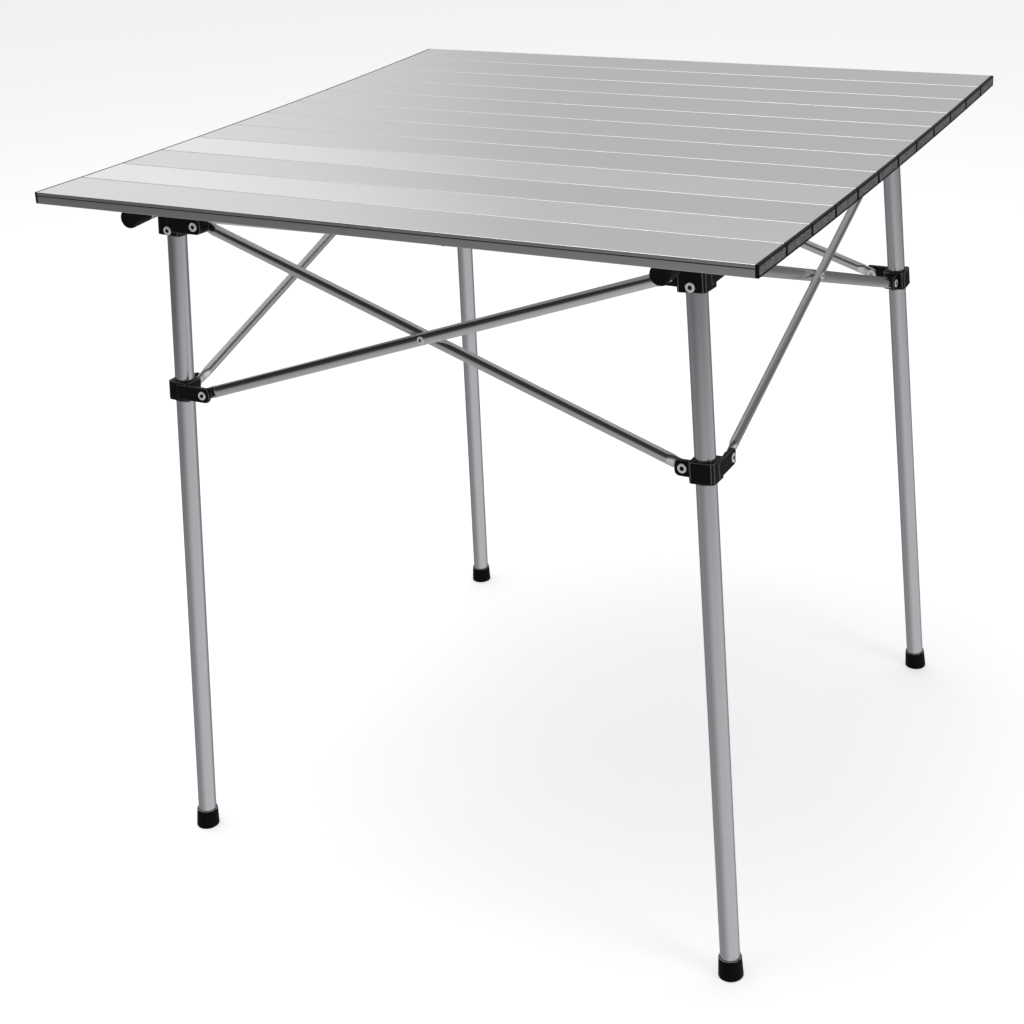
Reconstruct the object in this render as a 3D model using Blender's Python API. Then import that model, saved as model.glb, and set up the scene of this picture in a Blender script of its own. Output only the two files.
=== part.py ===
"""Roll-top folding camping table: a slatted aluminium top on two rails, over a frame of four
splayed legs that a scissor brace on each side folds together.

Metres, +Z up, origin on the floor under the middle of the top, +X right and -Y front.
The frame repeats four times about Z. Each side of it is worked out in a face frame, whose local
X runs to the right along the side, whose local Z lies up the tilted plane of the two legs, and
whose local -Y points outwards. A corner is the left end of its own face and the right end of the
face before it.
"""

import math

import bmesh
import bpy
from mathutils import Matrix, Vector

# ---------------------------------------------------------------- overall
TABLE_HEIGHT = 0.700
TOP_WIDTH = 0.700
TOP_DEPTH = 0.700
GAP = 0.0003
ROUND_STEPS = 24
PIN_STEPS = 16

# ---------------------------------------------------------------- tabletop
SLAT_COUNT = 12
FRONT_SLAT_DEPTH = 0.0610
REAR_SLAT_DEPTH = 0.0540
SLAT_THICK = 0.0108
SLAT_WALL = 0.0012
SEAM = 0.0008
TOP_SAG = 0.0040
LIP_HEIGHT = 0.0030
GROOVE_HEIGHT = 0.0009
GROOVE_DEPTH = 0.0007
EDGE_CHAMFER = 0.0008
CAP_LENGTH = 0.0026
CAP_PLUG_LENGTH = 0.0120
SADDLE_WIDTH = 0.0200
SADDLE_DEPTH = 0.0160
SADDLE_WRAP = 0.0050

# ---------------------------------------------------------------- rails
RAIL_SPACING = 0.5220
RAIL_RADIUS = 0.0080
RAIL_WALL = 0.0012
RAIL_END_INSET = 0.0190
RAIL_PLUG_LENGTH = 0.0240
RAIL_PLUG_RADIUS = 0.0090

# ---------------------------------------------------------------- legs
LEG_SPACING_TOP = 0.5252
LEG_SLOPE = 0.0515
LEG_RADIUS = 0.0092
LEG_WALL = 0.0010
LEG_TOP_SKIN = 0.0025
FOOT_HEIGHT = 0.0195
FOOT_FLOOR = 0.0040
FOOT_TOP_RADIUS = 0.0110
FOOT_BASE_RADIUS = 0.0118
FOOT_EDGE = 0.0020
CUT_MARGIN = 0.0020

# ---------------------------------------------------------------- brackets and sliders
BRACKET_HALF = 0.0130
BRACKET_BOTTOM = 0.6450
BRACKET_CLEARANCE = 0.0004
SLIDER_HALF = 0.0117
SLIDER_HEIGHT = 0.0190
BLOCK_CHAMFER = 0.0022
EAR_RADIUS = 0.0075
EAR_PROUD = 0.0004
INNER_EAR_FACE = 0.0013
INNER_EAR_THICK = 0.0033
OUTER_EAR_FACE = 0.0088
BRACKET_OUTER_EAR_THICK = 0.0026
SLIDER_OUTER_EAR_THICK = 0.0035

# ---------------------------------------------------------------- braces
TOP_PIVOT_HEIGHT = 0.6560
SLIDER_PIVOT_HEIGHT = 0.4900
LEFT_PIVOT_OFFSET = 0.0300
RIGHT_PIVOT_OFFSET = 0.0195
INNER_BRACE_DEPTH = -0.0005
OUTER_BRACE_DEPTH = 0.0070
BRACE_WIDTH = 0.0115
BRACE_THICK = 0.0070
BRACE_CORNER = 0.0028
TONGUE_THICK = 0.0030
TONGUE_RADIUS = 0.0055
TONGUE_LENGTH = 0.0170

# ---------------------------------------------------------------- rivets
RIVET_RADIUS = 0.0024
RIVET_HEAD_RADIUS = 0.0042
RIVET_HEAD_THICK = 0.0009
LEG_RIVET_HEIGHT = 0.6500
LEG_RIVET_TAIL = 0.0022
LEG_RIVET_SUNK = 0.0010

# ---------------------------------------------------------------- worked out
CORNERS = ("fl", "fr", "br", "bl")
FACES = ("front", "right", "back", "left")
SLAT_DEPTH = (TOP_DEPTH - FRONT_SLAT_DEPTH - REAR_SLAT_DEPTH) / (SLAT_COUNT - 2)
RAIL_HEIGHT = TABLE_HEIGHT - TOP_SAG - SLAT_THICK - GAP - RAIL_RADIUS
BRACKET_TOP = RAIL_HEIGHT - RAIL_RADIUS - BRACKET_CLEARANCE
LEG_BORE = LEG_RADIUS + GAP
RIVET_BORE = RIVET_RADIUS + GAP
FACE_TILT = math.atan(LEG_SLOPE)
LEG_TILT = math.atan(LEG_SLOPE * math.cos(FACE_TILT))
LEG_STRETCH = math.sqrt(1 + 2 * LEG_SLOPE**2)


def leg_reach(height):
    """Distance of a leg's axis from the table's middle, along X or Y, at a height."""
    return LEG_SPACING_TOP / 2 + (BRACKET_TOP - height) * LEG_SLOPE


def face_frame(side):
    """The frame of one side: origin at floor level, midway between its legs."""
    turn = Matrix.Rotation(math.radians(90) * side, 4, "Z")
    out = Matrix.Translation((0, -leg_reach(0), 0))
    return turn @ out @ Matrix.Rotation(-FACE_TILT, 4, "X")


def leg_frame(corner):
    """The frame of one leg: origin on its axis at floor level, local Z up the leg."""
    start = Matrix.Translation((-leg_reach(0), 0, 0))
    return face_frame(corner) @ start @ Matrix.Rotation(LEG_TILT, 4, "Y")


def up_leg(height):
    """Distance up a leg's axis at a height."""
    return height * LEG_STRETCH


def up_face(height):
    """Distance up a face's plane at a height."""
    return height / math.cos(FACE_TILT)


def pivot(height, is_left, depth=0.0):
    """A brace pivot in face coordinates, beside the left or the right leg of the face."""
    if is_left:
        x = LEFT_PIVOT_OFFSET - leg_reach(height)
    else:
        x = leg_reach(height) - RIGHT_PIVOT_OFFSET
    return Vector((x, -depth, up_face(height)))


BRACE_RUN = pivot(SLIDER_PIVOT_HEIGHT, False) - pivot(TOP_PIVOT_HEIGHT, True)
BRACE_LENGTH = BRACE_RUN.length
BRACE_ANGLE = math.atan2(-BRACE_RUN.z, BRACE_RUN.x)
CROSSING_REACH = (
    (pivot(TOP_PIVOT_HEIGHT, False).x - pivot(TOP_PIVOT_HEIGHT, True).x) / 2 / math.cos(BRACE_ANGLE)
)


# ================================================================ scene helpers
def clear_scene():
    for obj in list(bpy.data.objects):
        bpy.data.objects.remove(obj, do_unlink=True)


def new_collection(name):
    collection = bpy.data.collections.new(name)
    bpy.context.scene.collection.children.link(collection)
    return collection


def material(name, colour, roughness, metallic):
    made = bpy.data.materials.new(name)
    made.use_nodes = True
    shader = made.node_tree.nodes["Principled BSDF"]
    shader.inputs["Base Color"].default_value = (*colour, 1.0)
    shader.inputs["Roughness"].default_value = roughness
    shader.inputs["Metallic"].default_value = metallic
    return made


def object_of(name, mesh, frame=Matrix()):
    obj = bpy.data.objects.new(name, mesh)
    bpy.context.scene.collection.objects.link(obj)
    obj.matrix_world = frame
    return obj


def mesh_of(bm, name):
    bmesh.ops.recalc_face_normals(bm, faces=bm.faces)
    mesh = bpy.data.meshes.new(name)
    bm.to_mesh(mesh)
    bm.free()
    return mesh


def box(low, high, frame=Matrix()):
    """A box between two corners of a frame."""
    low, high = Vector(low), Vector(high)
    bm = bmesh.new()
    place = Matrix.Translation((low + high) / 2) @ Matrix.Diagonal((*(high - low), 1))
    bmesh.ops.create_cube(bm, size=1, matrix=place)
    return object_of("box", mesh_of(bm, "box"), frame)


def cylinder(start, axis, length, radius, frame=Matrix(), steps=PIN_STEPS):
    """A cylinder from a point of a frame, along its X, Y or Z."""
    turns = {
        "X": Matrix.Rotation(math.pi / 2, 4, "Y"),
        "Y": Matrix.Rotation(-math.pi / 2, 4, "X"),
        "Z": Matrix(),
    }
    place = Matrix.Translation(Vector(start)) @ turns[axis] @ Matrix.Translation((0, 0, length / 2))
    bm = bmesh.new()
    bmesh.ops.create_cone(
        bm, cap_ends=True, segments=steps, radius1=radius, radius2=radius, depth=length, matrix=place
    )
    return object_of("cylinder", mesh_of(bm, "cylinder"), frame)


def turned(points, frame=Matrix(), steps=ROUND_STEPS):
    """A closed profile of (radius, height) points turned about the frame's Z."""
    bm = bmesh.new()
    ring = [bm.verts.new((radius, 0, height)) for radius, height in points]
    pairs = [(ring[i - 1], ring[i]) for i in range(len(ring))]
    edges = [bm.edges.new(pair) for pair in pairs if pair[0].co.x > 0 or pair[1].co.x > 0]
    bmesh.ops.spin(
        bm, geom=ring + edges, cent=(0, 0, 0), axis=(0, 0, 1), angle=2 * math.pi, steps=steps, use_merge=True
    )
    bmesh.ops.remove_doubles(bm, verts=bm.verts, dist=1e-6)
    return object_of("turned", mesh_of(bm, "turned"), frame)


def prism(loops, length, frame=Matrix()):
    """Closed outlines in the frame's XY plane, extruded by a length up its Z from the plane."""
    curve = bpy.data.curves.new("outline", "CURVE")
    curve.dimensions = "2D"
    curve.fill_mode = "BOTH"
    curve.extrude = length / 2
    for loop in loops:
        spline = curve.splines.new("POLY")
        spline.points.add(len(loop) - 1)
        for point, (x, y) in zip(spline.points, loop):
            point.co = (x, y, 0, 1)
        spline.use_cyclic_u = True
    guide = object_of("outline", curve)
    bm = bmesh.new()
    bm.from_mesh(evaluated_mesh(guide))
    bpy.data.objects.remove(guide, do_unlink=True)
    bmesh.ops.remove_doubles(bm, verts=bm.verts, dist=1e-6)
    bmesh.ops.translate(bm, verts=bm.verts, vec=(0, 0, length / 2))
    return object_of("prism", mesh_of(bm, "prism"), frame)


def evaluated_mesh(obj):
    graph = bpy.context.evaluated_depsgraph_get()
    graph.update()
    return bpy.data.meshes.new_from_object(obj.evaluated_get(graph))


def combine(base, others, operation):
    """Boolean the others into the base, one after another, and remove them."""
    for other in others:
        step = base.modifiers.new("combine", "BOOLEAN")
        step.operation = operation
        step.object = other
    mesh = evaluated_mesh(base)
    base.modifiers.clear()
    base.data = mesh
    for other in others:
        bpy.data.objects.remove(other, do_unlink=True)
    return base


def joined(base, *others):
    return combine(base, others, "UNION")


def cut(base, *others):
    return combine(base, others, "DIFFERENCE")


def finish(obj, name, finish_material, origin, parent=None):
    """Name a piece, put its origin at a world point, dress it and file it."""
    mesh = obj.data
    place = Matrix.Translation(Vector(origin))
    mesh.transform(place.inverted() @ obj.matrix_world)
    obj.matrix_world = place
    obj.name = mesh.name = name
    mesh.materials.clear()
    mesh.materials.append(finish_material)
    mesh.shade_smooth()
    mesh.set_sharp_from_angle(angle=math.radians(35))
    for owner in list(obj.users_collection):
        owner.objects.unlink(obj)
    TABLE.objects.link(obj)
    if parent is not None:
        obj.parent = parent
        obj.matrix_parent_inverse = Matrix.Translation(-parent.location)
    return obj


def joint_empty(name, origin):
    """An empty on a joint's axis, which carries the pieces that the joint moves."""
    empty = bpy.data.objects.new(name, None)
    empty.empty_display_size = 0.02
    empty.location = origin
    TABLE.objects.link(empty)
    return empty


def arc(centre, radius, start, end, steps):
    """Points round a centre from one angle to another, in degrees."""
    angles = [math.radians(start + (end - start) * i / steps) for i in range(steps + 1)]
    return [(centre[0] + radius * math.cos(a), centre[1] + radius * math.sin(a)) for a in angles]


def rounded_rectangle(half_x, half_y, radius, steps=3):
    """The outline of a rectangle with round corners about the origin."""
    x, y = half_x - radius, half_y - radius
    corners = (((x, y), 0), ((-x, y), 90), ((-x, -y), 180), ((x, -y), 270))
    return [p for centre, angle in corners for p in arc(centre, radius, angle, angle + 90, steps)]


# ================================================================ rivets and legs
def rivet(x, z, inner, outer, frame=Matrix(), sunk=0.0):
    """A rivet through a frame's XZ plane, between two depths along -Y, its tail sunk in what it joins."""
    head = outer - RIVET_HEAD_THICK
    tail = inner + RIVET_HEAD_THICK + sunk
    profile = [
        (0, outer),
        (0, inner),
        (RIVET_HEAD_RADIUS, inner),
        (RIVET_HEAD_RADIUS, tail),
        (RIVET_RADIUS, tail),
        (RIVET_RADIUS, head),
        (RIVET_HEAD_RADIUS, head),
        (RIVET_HEAD_RADIUS, outer),
    ]
    place = frame @ Matrix.Translation((x, 0, z)) @ Matrix.Rotation(math.pi / 2, 4, "X")
    return turned(profile, place, PIN_STEPS)


def rivet_frame(corner):
    """A leg's frame turned so that its bracket rivet faces the front or the back of the table."""
    return leg_frame(corner) @ Matrix.Rotation(-math.pi / 2 * (corner % 2), 4, "Z")


def build_leg_tube(corner):
    """A round tube from inside the foot to inside the bracket, with the blind rivet that holds it."""
    frame = leg_frame(corner)
    low, high = FOOT_FLOOR + GAP, up_leg(BRACKET_TOP) - LEG_TOP_SKIN - GAP
    inner = LEG_RADIUS - LEG_WALL
    tube = turned([(LEG_RADIUS, high), (LEG_RADIUS, low), (inner, low), (inner, high)], frame)
    reach = BRACKET_HALF + EAR_PROUD + GAP + RIVET_HEAD_THICK
    blind = inner - LEG_RIVET_TAIL
    pin = rivet(0, up_leg(LEG_RIVET_HEIGHT), blind, reach, rivet_frame(corner), sunk=LEG_RIVET_SUNK)
    return joined(tube, pin)


def build_foot(corner):
    """A flared plastic cup on the leg's end, cut level where it stands on the floor."""
    frame = leg_frame(corner)
    low = -FOOT_BASE_RADIUS * 2 * LEG_SLOPE
    profile = [
        (0, FOOT_FLOOR),
        (LEG_BORE, FOOT_FLOOR),
        (LEG_BORE, FOOT_HEIGHT),
        (FOOT_TOP_RADIUS, FOOT_HEIGHT),
        (FOOT_BASE_RADIUS, FOOT_EDGE * 2),
        (FOOT_BASE_RADIUS - FOOT_EDGE, low),
        (0, low),
    ]
    foot = turned(profile, frame)
    reach = leg_reach(0) + TOP_WIDTH
    return cut(foot, box((-reach, -reach, -1), (reach, reach, 0)))


def tab_outline(radius, reach):
    """A tab's outline: round about the origin, and straight to its root at a signed reach along X."""
    away = 90 if reach > 0 else -90
    tip = arc((0, 0), radius, away, away + 180, ROUND_STEPS // 2)
    return tip + [(reach, tip[-1][1]), (reach, tip[0][1])]


def tab(radius, reach, thickness, frame):
    """A flat tab about a frame's origin, in its XZ plane, from that plane out along -Y."""
    return prism([tab_outline(radius, reach)], thickness, frame @ Matrix.Rotation(math.pi / 2, 4, "X"))


def ear(side, is_left, height, face_depth, thickness):
    """A plate with a round end that stands out of a block to hold a brace's tongue behind it."""
    centre = pivot(height, is_left, face_depth)
    reach = -LEFT_PIVOT_OFFSET if is_left else RIGHT_PIVOT_OFFSET
    return tab(EAR_RADIUS, reach, thickness, face_frame(side) @ Matrix.Translation(centre))


def ear_bore(side, is_left, height):
    """The cutter for an ear's rivet hole."""
    centre = pivot(height, is_left)
    reach = BRACKET_HALF * 2
    start = (centre.x, centre.y - reach, centre.z)
    return cylinder(start, "Y", 2 * reach, RIVET_BORE, face_frame(side))


def block(corner, half, low, high):
    """A square block about a leg's axis with chamfered upright edges."""
    side = half - BLOCK_CHAMFER
    outline = [
        (half, side), (side, half), (-side, half), (-half, side),
        (-half, -side), (-side, -half), (side, -half), (half, -side),
    ]
    return prism([outline], high - low, leg_frame(corner) @ Matrix.Translation((0, 0, low)))


def build_bracket(corner):
    """The corner block that caps a leg: a socket from below, a level top and two ears."""
    frame = leg_frame(corner)
    low, high = up_leg(BRACKET_BOTTOM), up_leg(BRACKET_TOP)
    body = block(corner, BRACKET_HALF, low, high + CUT_MARGIN)
    before = (corner - 1) % 4
    thick = BRACKET_HALF + EAR_PROUD - INNER_EAR_FACE
    body = joined(
        body,
        ear(corner, True, TOP_PIVOT_HEIGHT, INNER_EAR_FACE, thick),
        ear(before, False, TOP_PIVOT_HEIGHT, OUTER_EAR_FACE, BRACKET_OUTER_EAR_THICK),
    )
    reach = BRACKET_HALF * 2
    socket = high - LEG_TOP_SKIN - low + CUT_MARGIN
    return cut(
        body,
        box((-1, -1, BRACKET_TOP), (1, 1, 1)),
        cylinder((0, 0, low - CUT_MARGIN), "Z", socket, LEG_BORE, frame, ROUND_STEPS),
        cylinder((0, -reach, up_leg(LEG_RIVET_HEIGHT)), "Y", reach, RIVET_BORE, rivet_frame(corner)),
        ear_bore(corner, True, TOP_PIVOT_HEIGHT),
        ear_bore(before, False, TOP_PIVOT_HEIGHT),
    )


def build_slider(corner):
    """The block that slides on a leg: a bore right through and two ears."""
    frame = leg_frame(corner)
    middle = up_leg(SLIDER_PIVOT_HEIGHT)
    low, high = middle - SLIDER_HEIGHT / 2, middle + SLIDER_HEIGHT / 2
    before = (corner - 1) % 4
    body = joined(
        block(corner, SLIDER_HALF, low, high),
        ear(corner, True, SLIDER_PIVOT_HEIGHT, OUTER_EAR_FACE, SLIDER_OUTER_EAR_THICK),
        ear(before, False, SLIDER_PIVOT_HEIGHT, INNER_EAR_FACE, INNER_EAR_THICK),
    )
    return cut(
        body,
        cylinder((0, 0, low - CUT_MARGIN), "Z", SLIDER_HEIGHT + 2 * CUT_MARGIN, LEG_BORE, frame, ROUND_STEPS),
        ear_bore(corner, True, SLIDER_PIVOT_HEIGHT),
        ear_bore(before, False, SLIDER_PIVOT_HEIGHT),
    )


# ================================================================ braces
def tongue(x, direction):
    """A brace's flattened end, round about its rivet."""
    start = Matrix.Translation((x, TONGUE_THICK / 2, 0))
    return tab(TONGUE_RADIUS, direction * (TONGUE_LENGTH + BRACE_CORNER), TONGUE_THICK, start)


def brace_frame(side, is_inner):
    """A brace's frame: origin at its top pivot, local X down its length."""
    depth = INNER_BRACE_DEPTH if is_inner else OUTER_BRACE_DEPTH
    start = pivot(TOP_PIVOT_HEIGHT, is_inner, depth)
    turn = BRACE_ANGLE if is_inner else math.pi - BRACE_ANGLE
    return face_frame(side) @ Matrix.Translation(start) @ Matrix.Rotation(turn, 4, "Y")


def build_brace(side, is_inner):
    """One arm of a scissor: a flat-oval tube with flattened ends and its rivets."""
    depth = INNER_BRACE_DEPTH if is_inner else OUTER_BRACE_DEPTH
    outline = rounded_rectangle(BRACE_THICK / 2, BRACE_WIDTH / 2, BRACE_CORNER)
    lay = Matrix.Translation((TONGUE_LENGTH, 0, 0)) @ Matrix.Rotation(math.pi / 2, 4, "Y")
    upright = Matrix.Rotation(math.pi / 2, 4, "Z")
    body = prism([outline], BRACE_LENGTH - 2 * TONGUE_LENGTH, lay @ upright)
    tail = -TONGUE_THICK / 2 - RIVET_HEAD_THICK
    sunk = TONGUE_THICK / 4
    head = GAP + RIVET_HEAD_THICK - depth
    if is_inner:
        top_ear, low_ear = BRACKET_HALF + EAR_PROUD, INNER_EAR_FACE + INNER_EAR_THICK
        crossing = BRACE_THICK / 2 - RIVET_HEAD_THICK
    else:
        top_ear = OUTER_EAR_FACE + BRACKET_OUTER_EAR_THICK
        low_ear = OUTER_EAR_FACE + SLIDER_OUTER_EAR_THICK
        crossing = -BRACE_THICK / 2 - RIVET_HEAD_THICK
    start = (CROSSING_REACH, crossing, 0)
    brace = joined(
        body,
        tongue(0, 1),
        tongue(BRACE_LENGTH, -1),
        rivet(0, 0, tail, top_ear + head, sunk=sunk),
        rivet(BRACE_LENGTH, 0, tail, low_ear + head, sunk=sunk),
        cylinder(start, "Y", 2 * RIVET_HEAD_THICK, RIVET_HEAD_RADIUS),
    )
    brace.matrix_world = brace_frame(side, is_inner) @ brace.matrix_world
    return brace


# ================================================================ rails and top
def build_rail(x):
    """A rail tube along Y with a plug in each end and a drain hole in its underside."""
    frame = Matrix.Translation((x, 0, RAIL_HEIGHT)) @ Matrix.Rotation(math.pi / 2, 4, "X")
    end = TOP_DEPTH / 2 - RAIL_END_INSET
    seat = end - RAIL_PLUG_LENGTH
    nose = RAIL_PLUG_RADIUS / 2
    half = [
        (0, end),
        (nose, end),
        (RAIL_PLUG_RADIUS, end - nose),
        (RAIL_PLUG_RADIUS, end - 2 * nose),
        (RAIL_RADIUS, seat),
    ]
    outside = half + [(radius, -height) for radius, height in reversed(half)]
    inner = RAIL_RADIUS - RAIL_WALL
    rail = turned(outside, frame)
    hollow = cylinder((0, 0, -seat), "Z", 2 * seat, inner, frame, ROUND_STEPS)
    drain = cylinder((x, 0, RAIL_HEIGHT - 2 * RAIL_RADIUS), "Z", 2 * RAIL_RADIUS, RIVET_RADIUS)
    return cut(rail, joined(hollow, drain))


def seam_positions():
    """The Y of each slat's front edge, front to rear, and of the last one's rear edge."""
    depths = [FRONT_SLAT_DEPTH] + [SLAT_DEPTH] * (SLAT_COUNT - 2) + [REAR_SLAT_DEPTH]
    places = [-TOP_DEPTH / 2]
    for depth in depths:
        places.append(places[-1] + depth)
    return places


def surface_height(y):
    """Height of the top's surface, which sags a little between its front and rear edges."""
    return TABLE_HEIGHT - TOP_SAG * (1 - (2 * y / TOP_DEPTH) ** 2)


def slat_frame(front, rear):
    """A slat's frame: origin at the middle of its surface, local Z along the table's X."""
    low, high = surface_height(front), surface_height(rear)
    middle = Vector((0, (front + rear) / 2, (low + high) / 2))
    slope = math.atan2(high - low, rear - front)
    upright = Matrix(((0, 0, 1, 0), (1, 0, 0, 0), (0, 1, 0, 0), (0, 0, 0, 1)))
    return Matrix.Translation(middle) @ Matrix.Rotation(slope, 4, "X") @ upright


def slat_outline(depth, grooved):
    """A slat's outer section, with its surface at zero: chamfered edges and a groove in each."""
    half, thick = depth / 2 - SEAM / 2, SLAT_THICK
    side = [(half - EDGE_CHAMFER, 0), (half, -EDGE_CHAMFER)]
    if grooved:
        side += [
            (half, -LIP_HEIGHT),
            (half - GROOVE_DEPTH, -LIP_HEIGHT),
            (half - GROOVE_DEPTH, -LIP_HEIGHT - GROOVE_HEIGHT),
            (half, -LIP_HEIGHT - GROOVE_HEIGHT),
        ]
    side += [(half, EDGE_CHAMFER - thick), (half - EDGE_CHAMFER, -thick)]
    return side + [(-x, y) for x, y in reversed(side)]


def slat_hollow(depth, clearance=0.0):
    """A slat's inner section, or a plug's section that clears it."""
    half = depth / 2 - SEAM / 2 - GROOVE_DEPTH - SLAT_WALL - clearance
    high, low = -SLAT_WALL - clearance, SLAT_WALL + clearance - SLAT_THICK
    return [(half, high), (half, low), (-half, low), (-half, high)]


def build_slat(front, rear, capped):
    """A hollow extruded slat, open at both ends."""
    depth = rear - front
    half = TOP_WIDTH / 2 - (CAP_LENGTH + GAP if capped else 0)
    frame = slat_frame(front, rear) @ Matrix.Translation((0, 0, -half))
    return prism([slat_outline(depth, True), slat_hollow(depth)], 2 * half, frame)


def build_saddles(slat, front, rear, direction):
    """Pads under an end slat, near its outer edge, that sit over the two rails."""
    underside = min(surface_height(front), surface_height(rear)) - SLAT_THICK + SLAT_WALL / 2
    low = RAIL_HEIGHT + RAIL_PLUG_RADIUS - SADDLE_WRAP
    middle = (front + rear) / 2 + direction * SADDLE_DEPTH / 4
    for x in (-RAIL_SPACING / 2, RAIL_SPACING / 2):
        pad = box(
            (x - SADDLE_WIDTH / 2, middle - SADDLE_DEPTH / 2, low),
            (x + SADDLE_WIDTH / 2, middle + SADDLE_DEPTH / 2, underside),
        )
        groove = cylinder(
            (x, middle - SADDLE_DEPTH, RAIL_HEIGHT), "Y", 2 * SADDLE_DEPTH, RAIL_PLUG_RADIUS + GAP,
            steps=ROUND_STEPS,
        )
        slat = joined(slat, cut(pad, groove))
    return slat


def build_slat_cap(front, rear, side):
    """A moulded cap on one end of a slat, with a plug that fills the hollow's mouth."""
    depth = rear - front
    frame = slat_frame(front, rear)
    end = TOP_WIDTH / 2 - CAP_LENGTH
    plate_start = end if side > 0 else -end - CAP_LENGTH
    plate = prism([slat_outline(depth, False)], CAP_LENGTH, frame @ Matrix.Translation((0, 0, plate_start)))
    length = CAP_PLUG_LENGTH + CAP_LENGTH / 2
    plug_start = end - CAP_PLUG_LENGTH if side > 0 else -end - CAP_LENGTH / 2
    plug = prism([slat_hollow(depth, GAP)], length, frame @ Matrix.Translation((0, 0, plug_start)))
    return joined(plate, plug)


# ================================================================ assembly
def assemble_frame(silver, polished, plastic):
    for corner, name in enumerate(CORNERS):
        hinge = face_frame((corner - 1) % 4) @ pivot(TOP_PIVOT_HEIGHT, False)
        carrier = joint_empty(f"leg_{name}", hinge)
        finish(build_leg_tube(corner), f"leg_tube_{name}", silver, hinge, carrier)
        finish(build_foot(corner), f"foot_{name}", plastic, hinge, carrier)
        finish(build_bracket(corner), f"corner_bracket_{name}", plastic, hinge, carrier)
        slide = face_frame(corner) @ pivot(SLIDER_PIVOT_HEIGHT, True)
        finish(build_slider(corner), f"slider_{name}", plastic, slide)
    for side, name in enumerate(FACES):
        for is_inner, layer in ((True, "inner"), (False, "outer")):
            origin = brace_frame(side, is_inner).translation
            finish(build_brace(side, is_inner), f"brace_{name}_{layer}", polished, origin)


def assemble_top(silver, plastic):
    for x, name in ((-RAIL_SPACING / 2, "left"), (RAIL_SPACING / 2, "right")):
        finish(build_rail(x), f"rail_{name}", silver, (x, 0, RAIL_HEIGHT))
    seams = seam_positions()
    for number, (front, rear) in enumerate(zip(seams, seams[1:]), start=1):
        is_last = number == SLAT_COUNT
        slat = build_slat(front, rear, capped=not is_last)
        if number == 1:
            slat = build_saddles(slat, front, rear, -1)
        if is_last:
            slat = build_saddles(slat, front, rear, 1)
        hinge = Vector((0, rear, surface_height(rear)))
        carrier = joint_empty(f"slat_hinge_{number:02d}", hinge)
        finish(slat, f"slat_{number:02d}", silver, hinge, carrier)
        if not is_last:
            for side, end in ((-1, "left"), (1, "right")):
                cap = build_slat_cap(front, rear, side)
                finish(cap, f"slat_cap_{end}_{number:02d}", plastic, hinge, carrier)


clear_scene()
TABLE = new_collection("roll_top_table")
SILVER = material("satin_aluminium", (0.62, 0.61, 0.63), 0.38, 1.0)
POLISHED = material("polished_aluminium", (0.72, 0.72, 0.73), 0.22, 1.0)
PLASTIC = material("black_plastic", (0.018, 0.018, 0.02), 0.5, 0.0)
assemble_frame(SILVER, POLISHED, PLASTIC)
assemble_top(SILVER, PLASTIC)
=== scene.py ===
"""Looks of a roll-top folding table: finer pieces, finishes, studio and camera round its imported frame."""

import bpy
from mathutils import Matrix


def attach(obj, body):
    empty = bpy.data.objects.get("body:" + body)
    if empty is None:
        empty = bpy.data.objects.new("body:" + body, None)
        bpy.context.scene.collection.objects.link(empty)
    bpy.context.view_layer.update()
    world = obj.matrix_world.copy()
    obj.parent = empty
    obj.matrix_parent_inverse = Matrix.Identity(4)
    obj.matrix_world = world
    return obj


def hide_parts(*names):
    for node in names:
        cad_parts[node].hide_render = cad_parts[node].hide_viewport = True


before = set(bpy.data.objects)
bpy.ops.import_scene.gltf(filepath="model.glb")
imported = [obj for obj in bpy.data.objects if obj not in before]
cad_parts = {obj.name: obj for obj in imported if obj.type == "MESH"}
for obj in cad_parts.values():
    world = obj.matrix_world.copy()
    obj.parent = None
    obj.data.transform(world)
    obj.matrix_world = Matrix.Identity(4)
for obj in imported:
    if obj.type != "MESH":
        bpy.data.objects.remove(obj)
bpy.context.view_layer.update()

import logging
import math
from dataclasses import dataclass, field, replace
from enum import Enum
from typing import Callable, Iterable, Sequence

import bmesh
import bpy
from mathutils import Matrix, Vector

Number3 = tuple[float, float, float]
Pairs = tuple[tuple[float, float], ...]
PointTest = Callable[[Vector, Vector], bool]
Material = bpy.types.Material
Node = bpy.types.Node
Object = bpy.types.Object
Socket = bpy.types.NodeSocket

LOG = logging.getLogger("folding_table")
QUARTER = math.pi / 2
MAIN, TRIM, RECESS = range(3)  # a piece's finishes: its body, its edges or bore, and what lies sunk
FINISH_SLOTS = 3
FLAT_TURN = math.radians(0.5)  # faces that turn by less than this lie in one plane
DOUBLES = 0.000002  # vertices closer than this are merged
NEAR = 1e-5  # two places closer than this are the same
FACING = 0.95  # a normal with more than this along an axis faces that way


class Corner(Enum):
    """The four legs, each at the left end of the side with the same number."""

    FRONT_LEFT = 0
    FRONT_RIGHT = 1
    BACK_RIGHT = 2
    BACK_LEFT = 3

    @property
    def code(self) -> str:
        """The corner's short name."""
        return ("fl", "fr", "br", "bl")[self.value]


class Side(Enum):
    """The four sides, seen from outside in turn."""

    FRONT = 0
    RIGHT = 1
    BACK = 2
    LEFT = 3

    @property
    def code(self) -> str:
        """The side's name."""
        return self.name.lower()


class Layer(Enum):
    """Which of a side's two brace arms: the one against the legs, or the one outside it."""

    INNER = "inner"
    OUTER = "outer"


class Slot(Enum):
    """The record's material slots."""

    SLAT = "slat_aluminium"
    LEG = "leg_aluminium"
    POLISHED = "polished_aluminium"
    PLASTIC = "black_plastic"
    FOOT = "foot_plastic"


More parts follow.
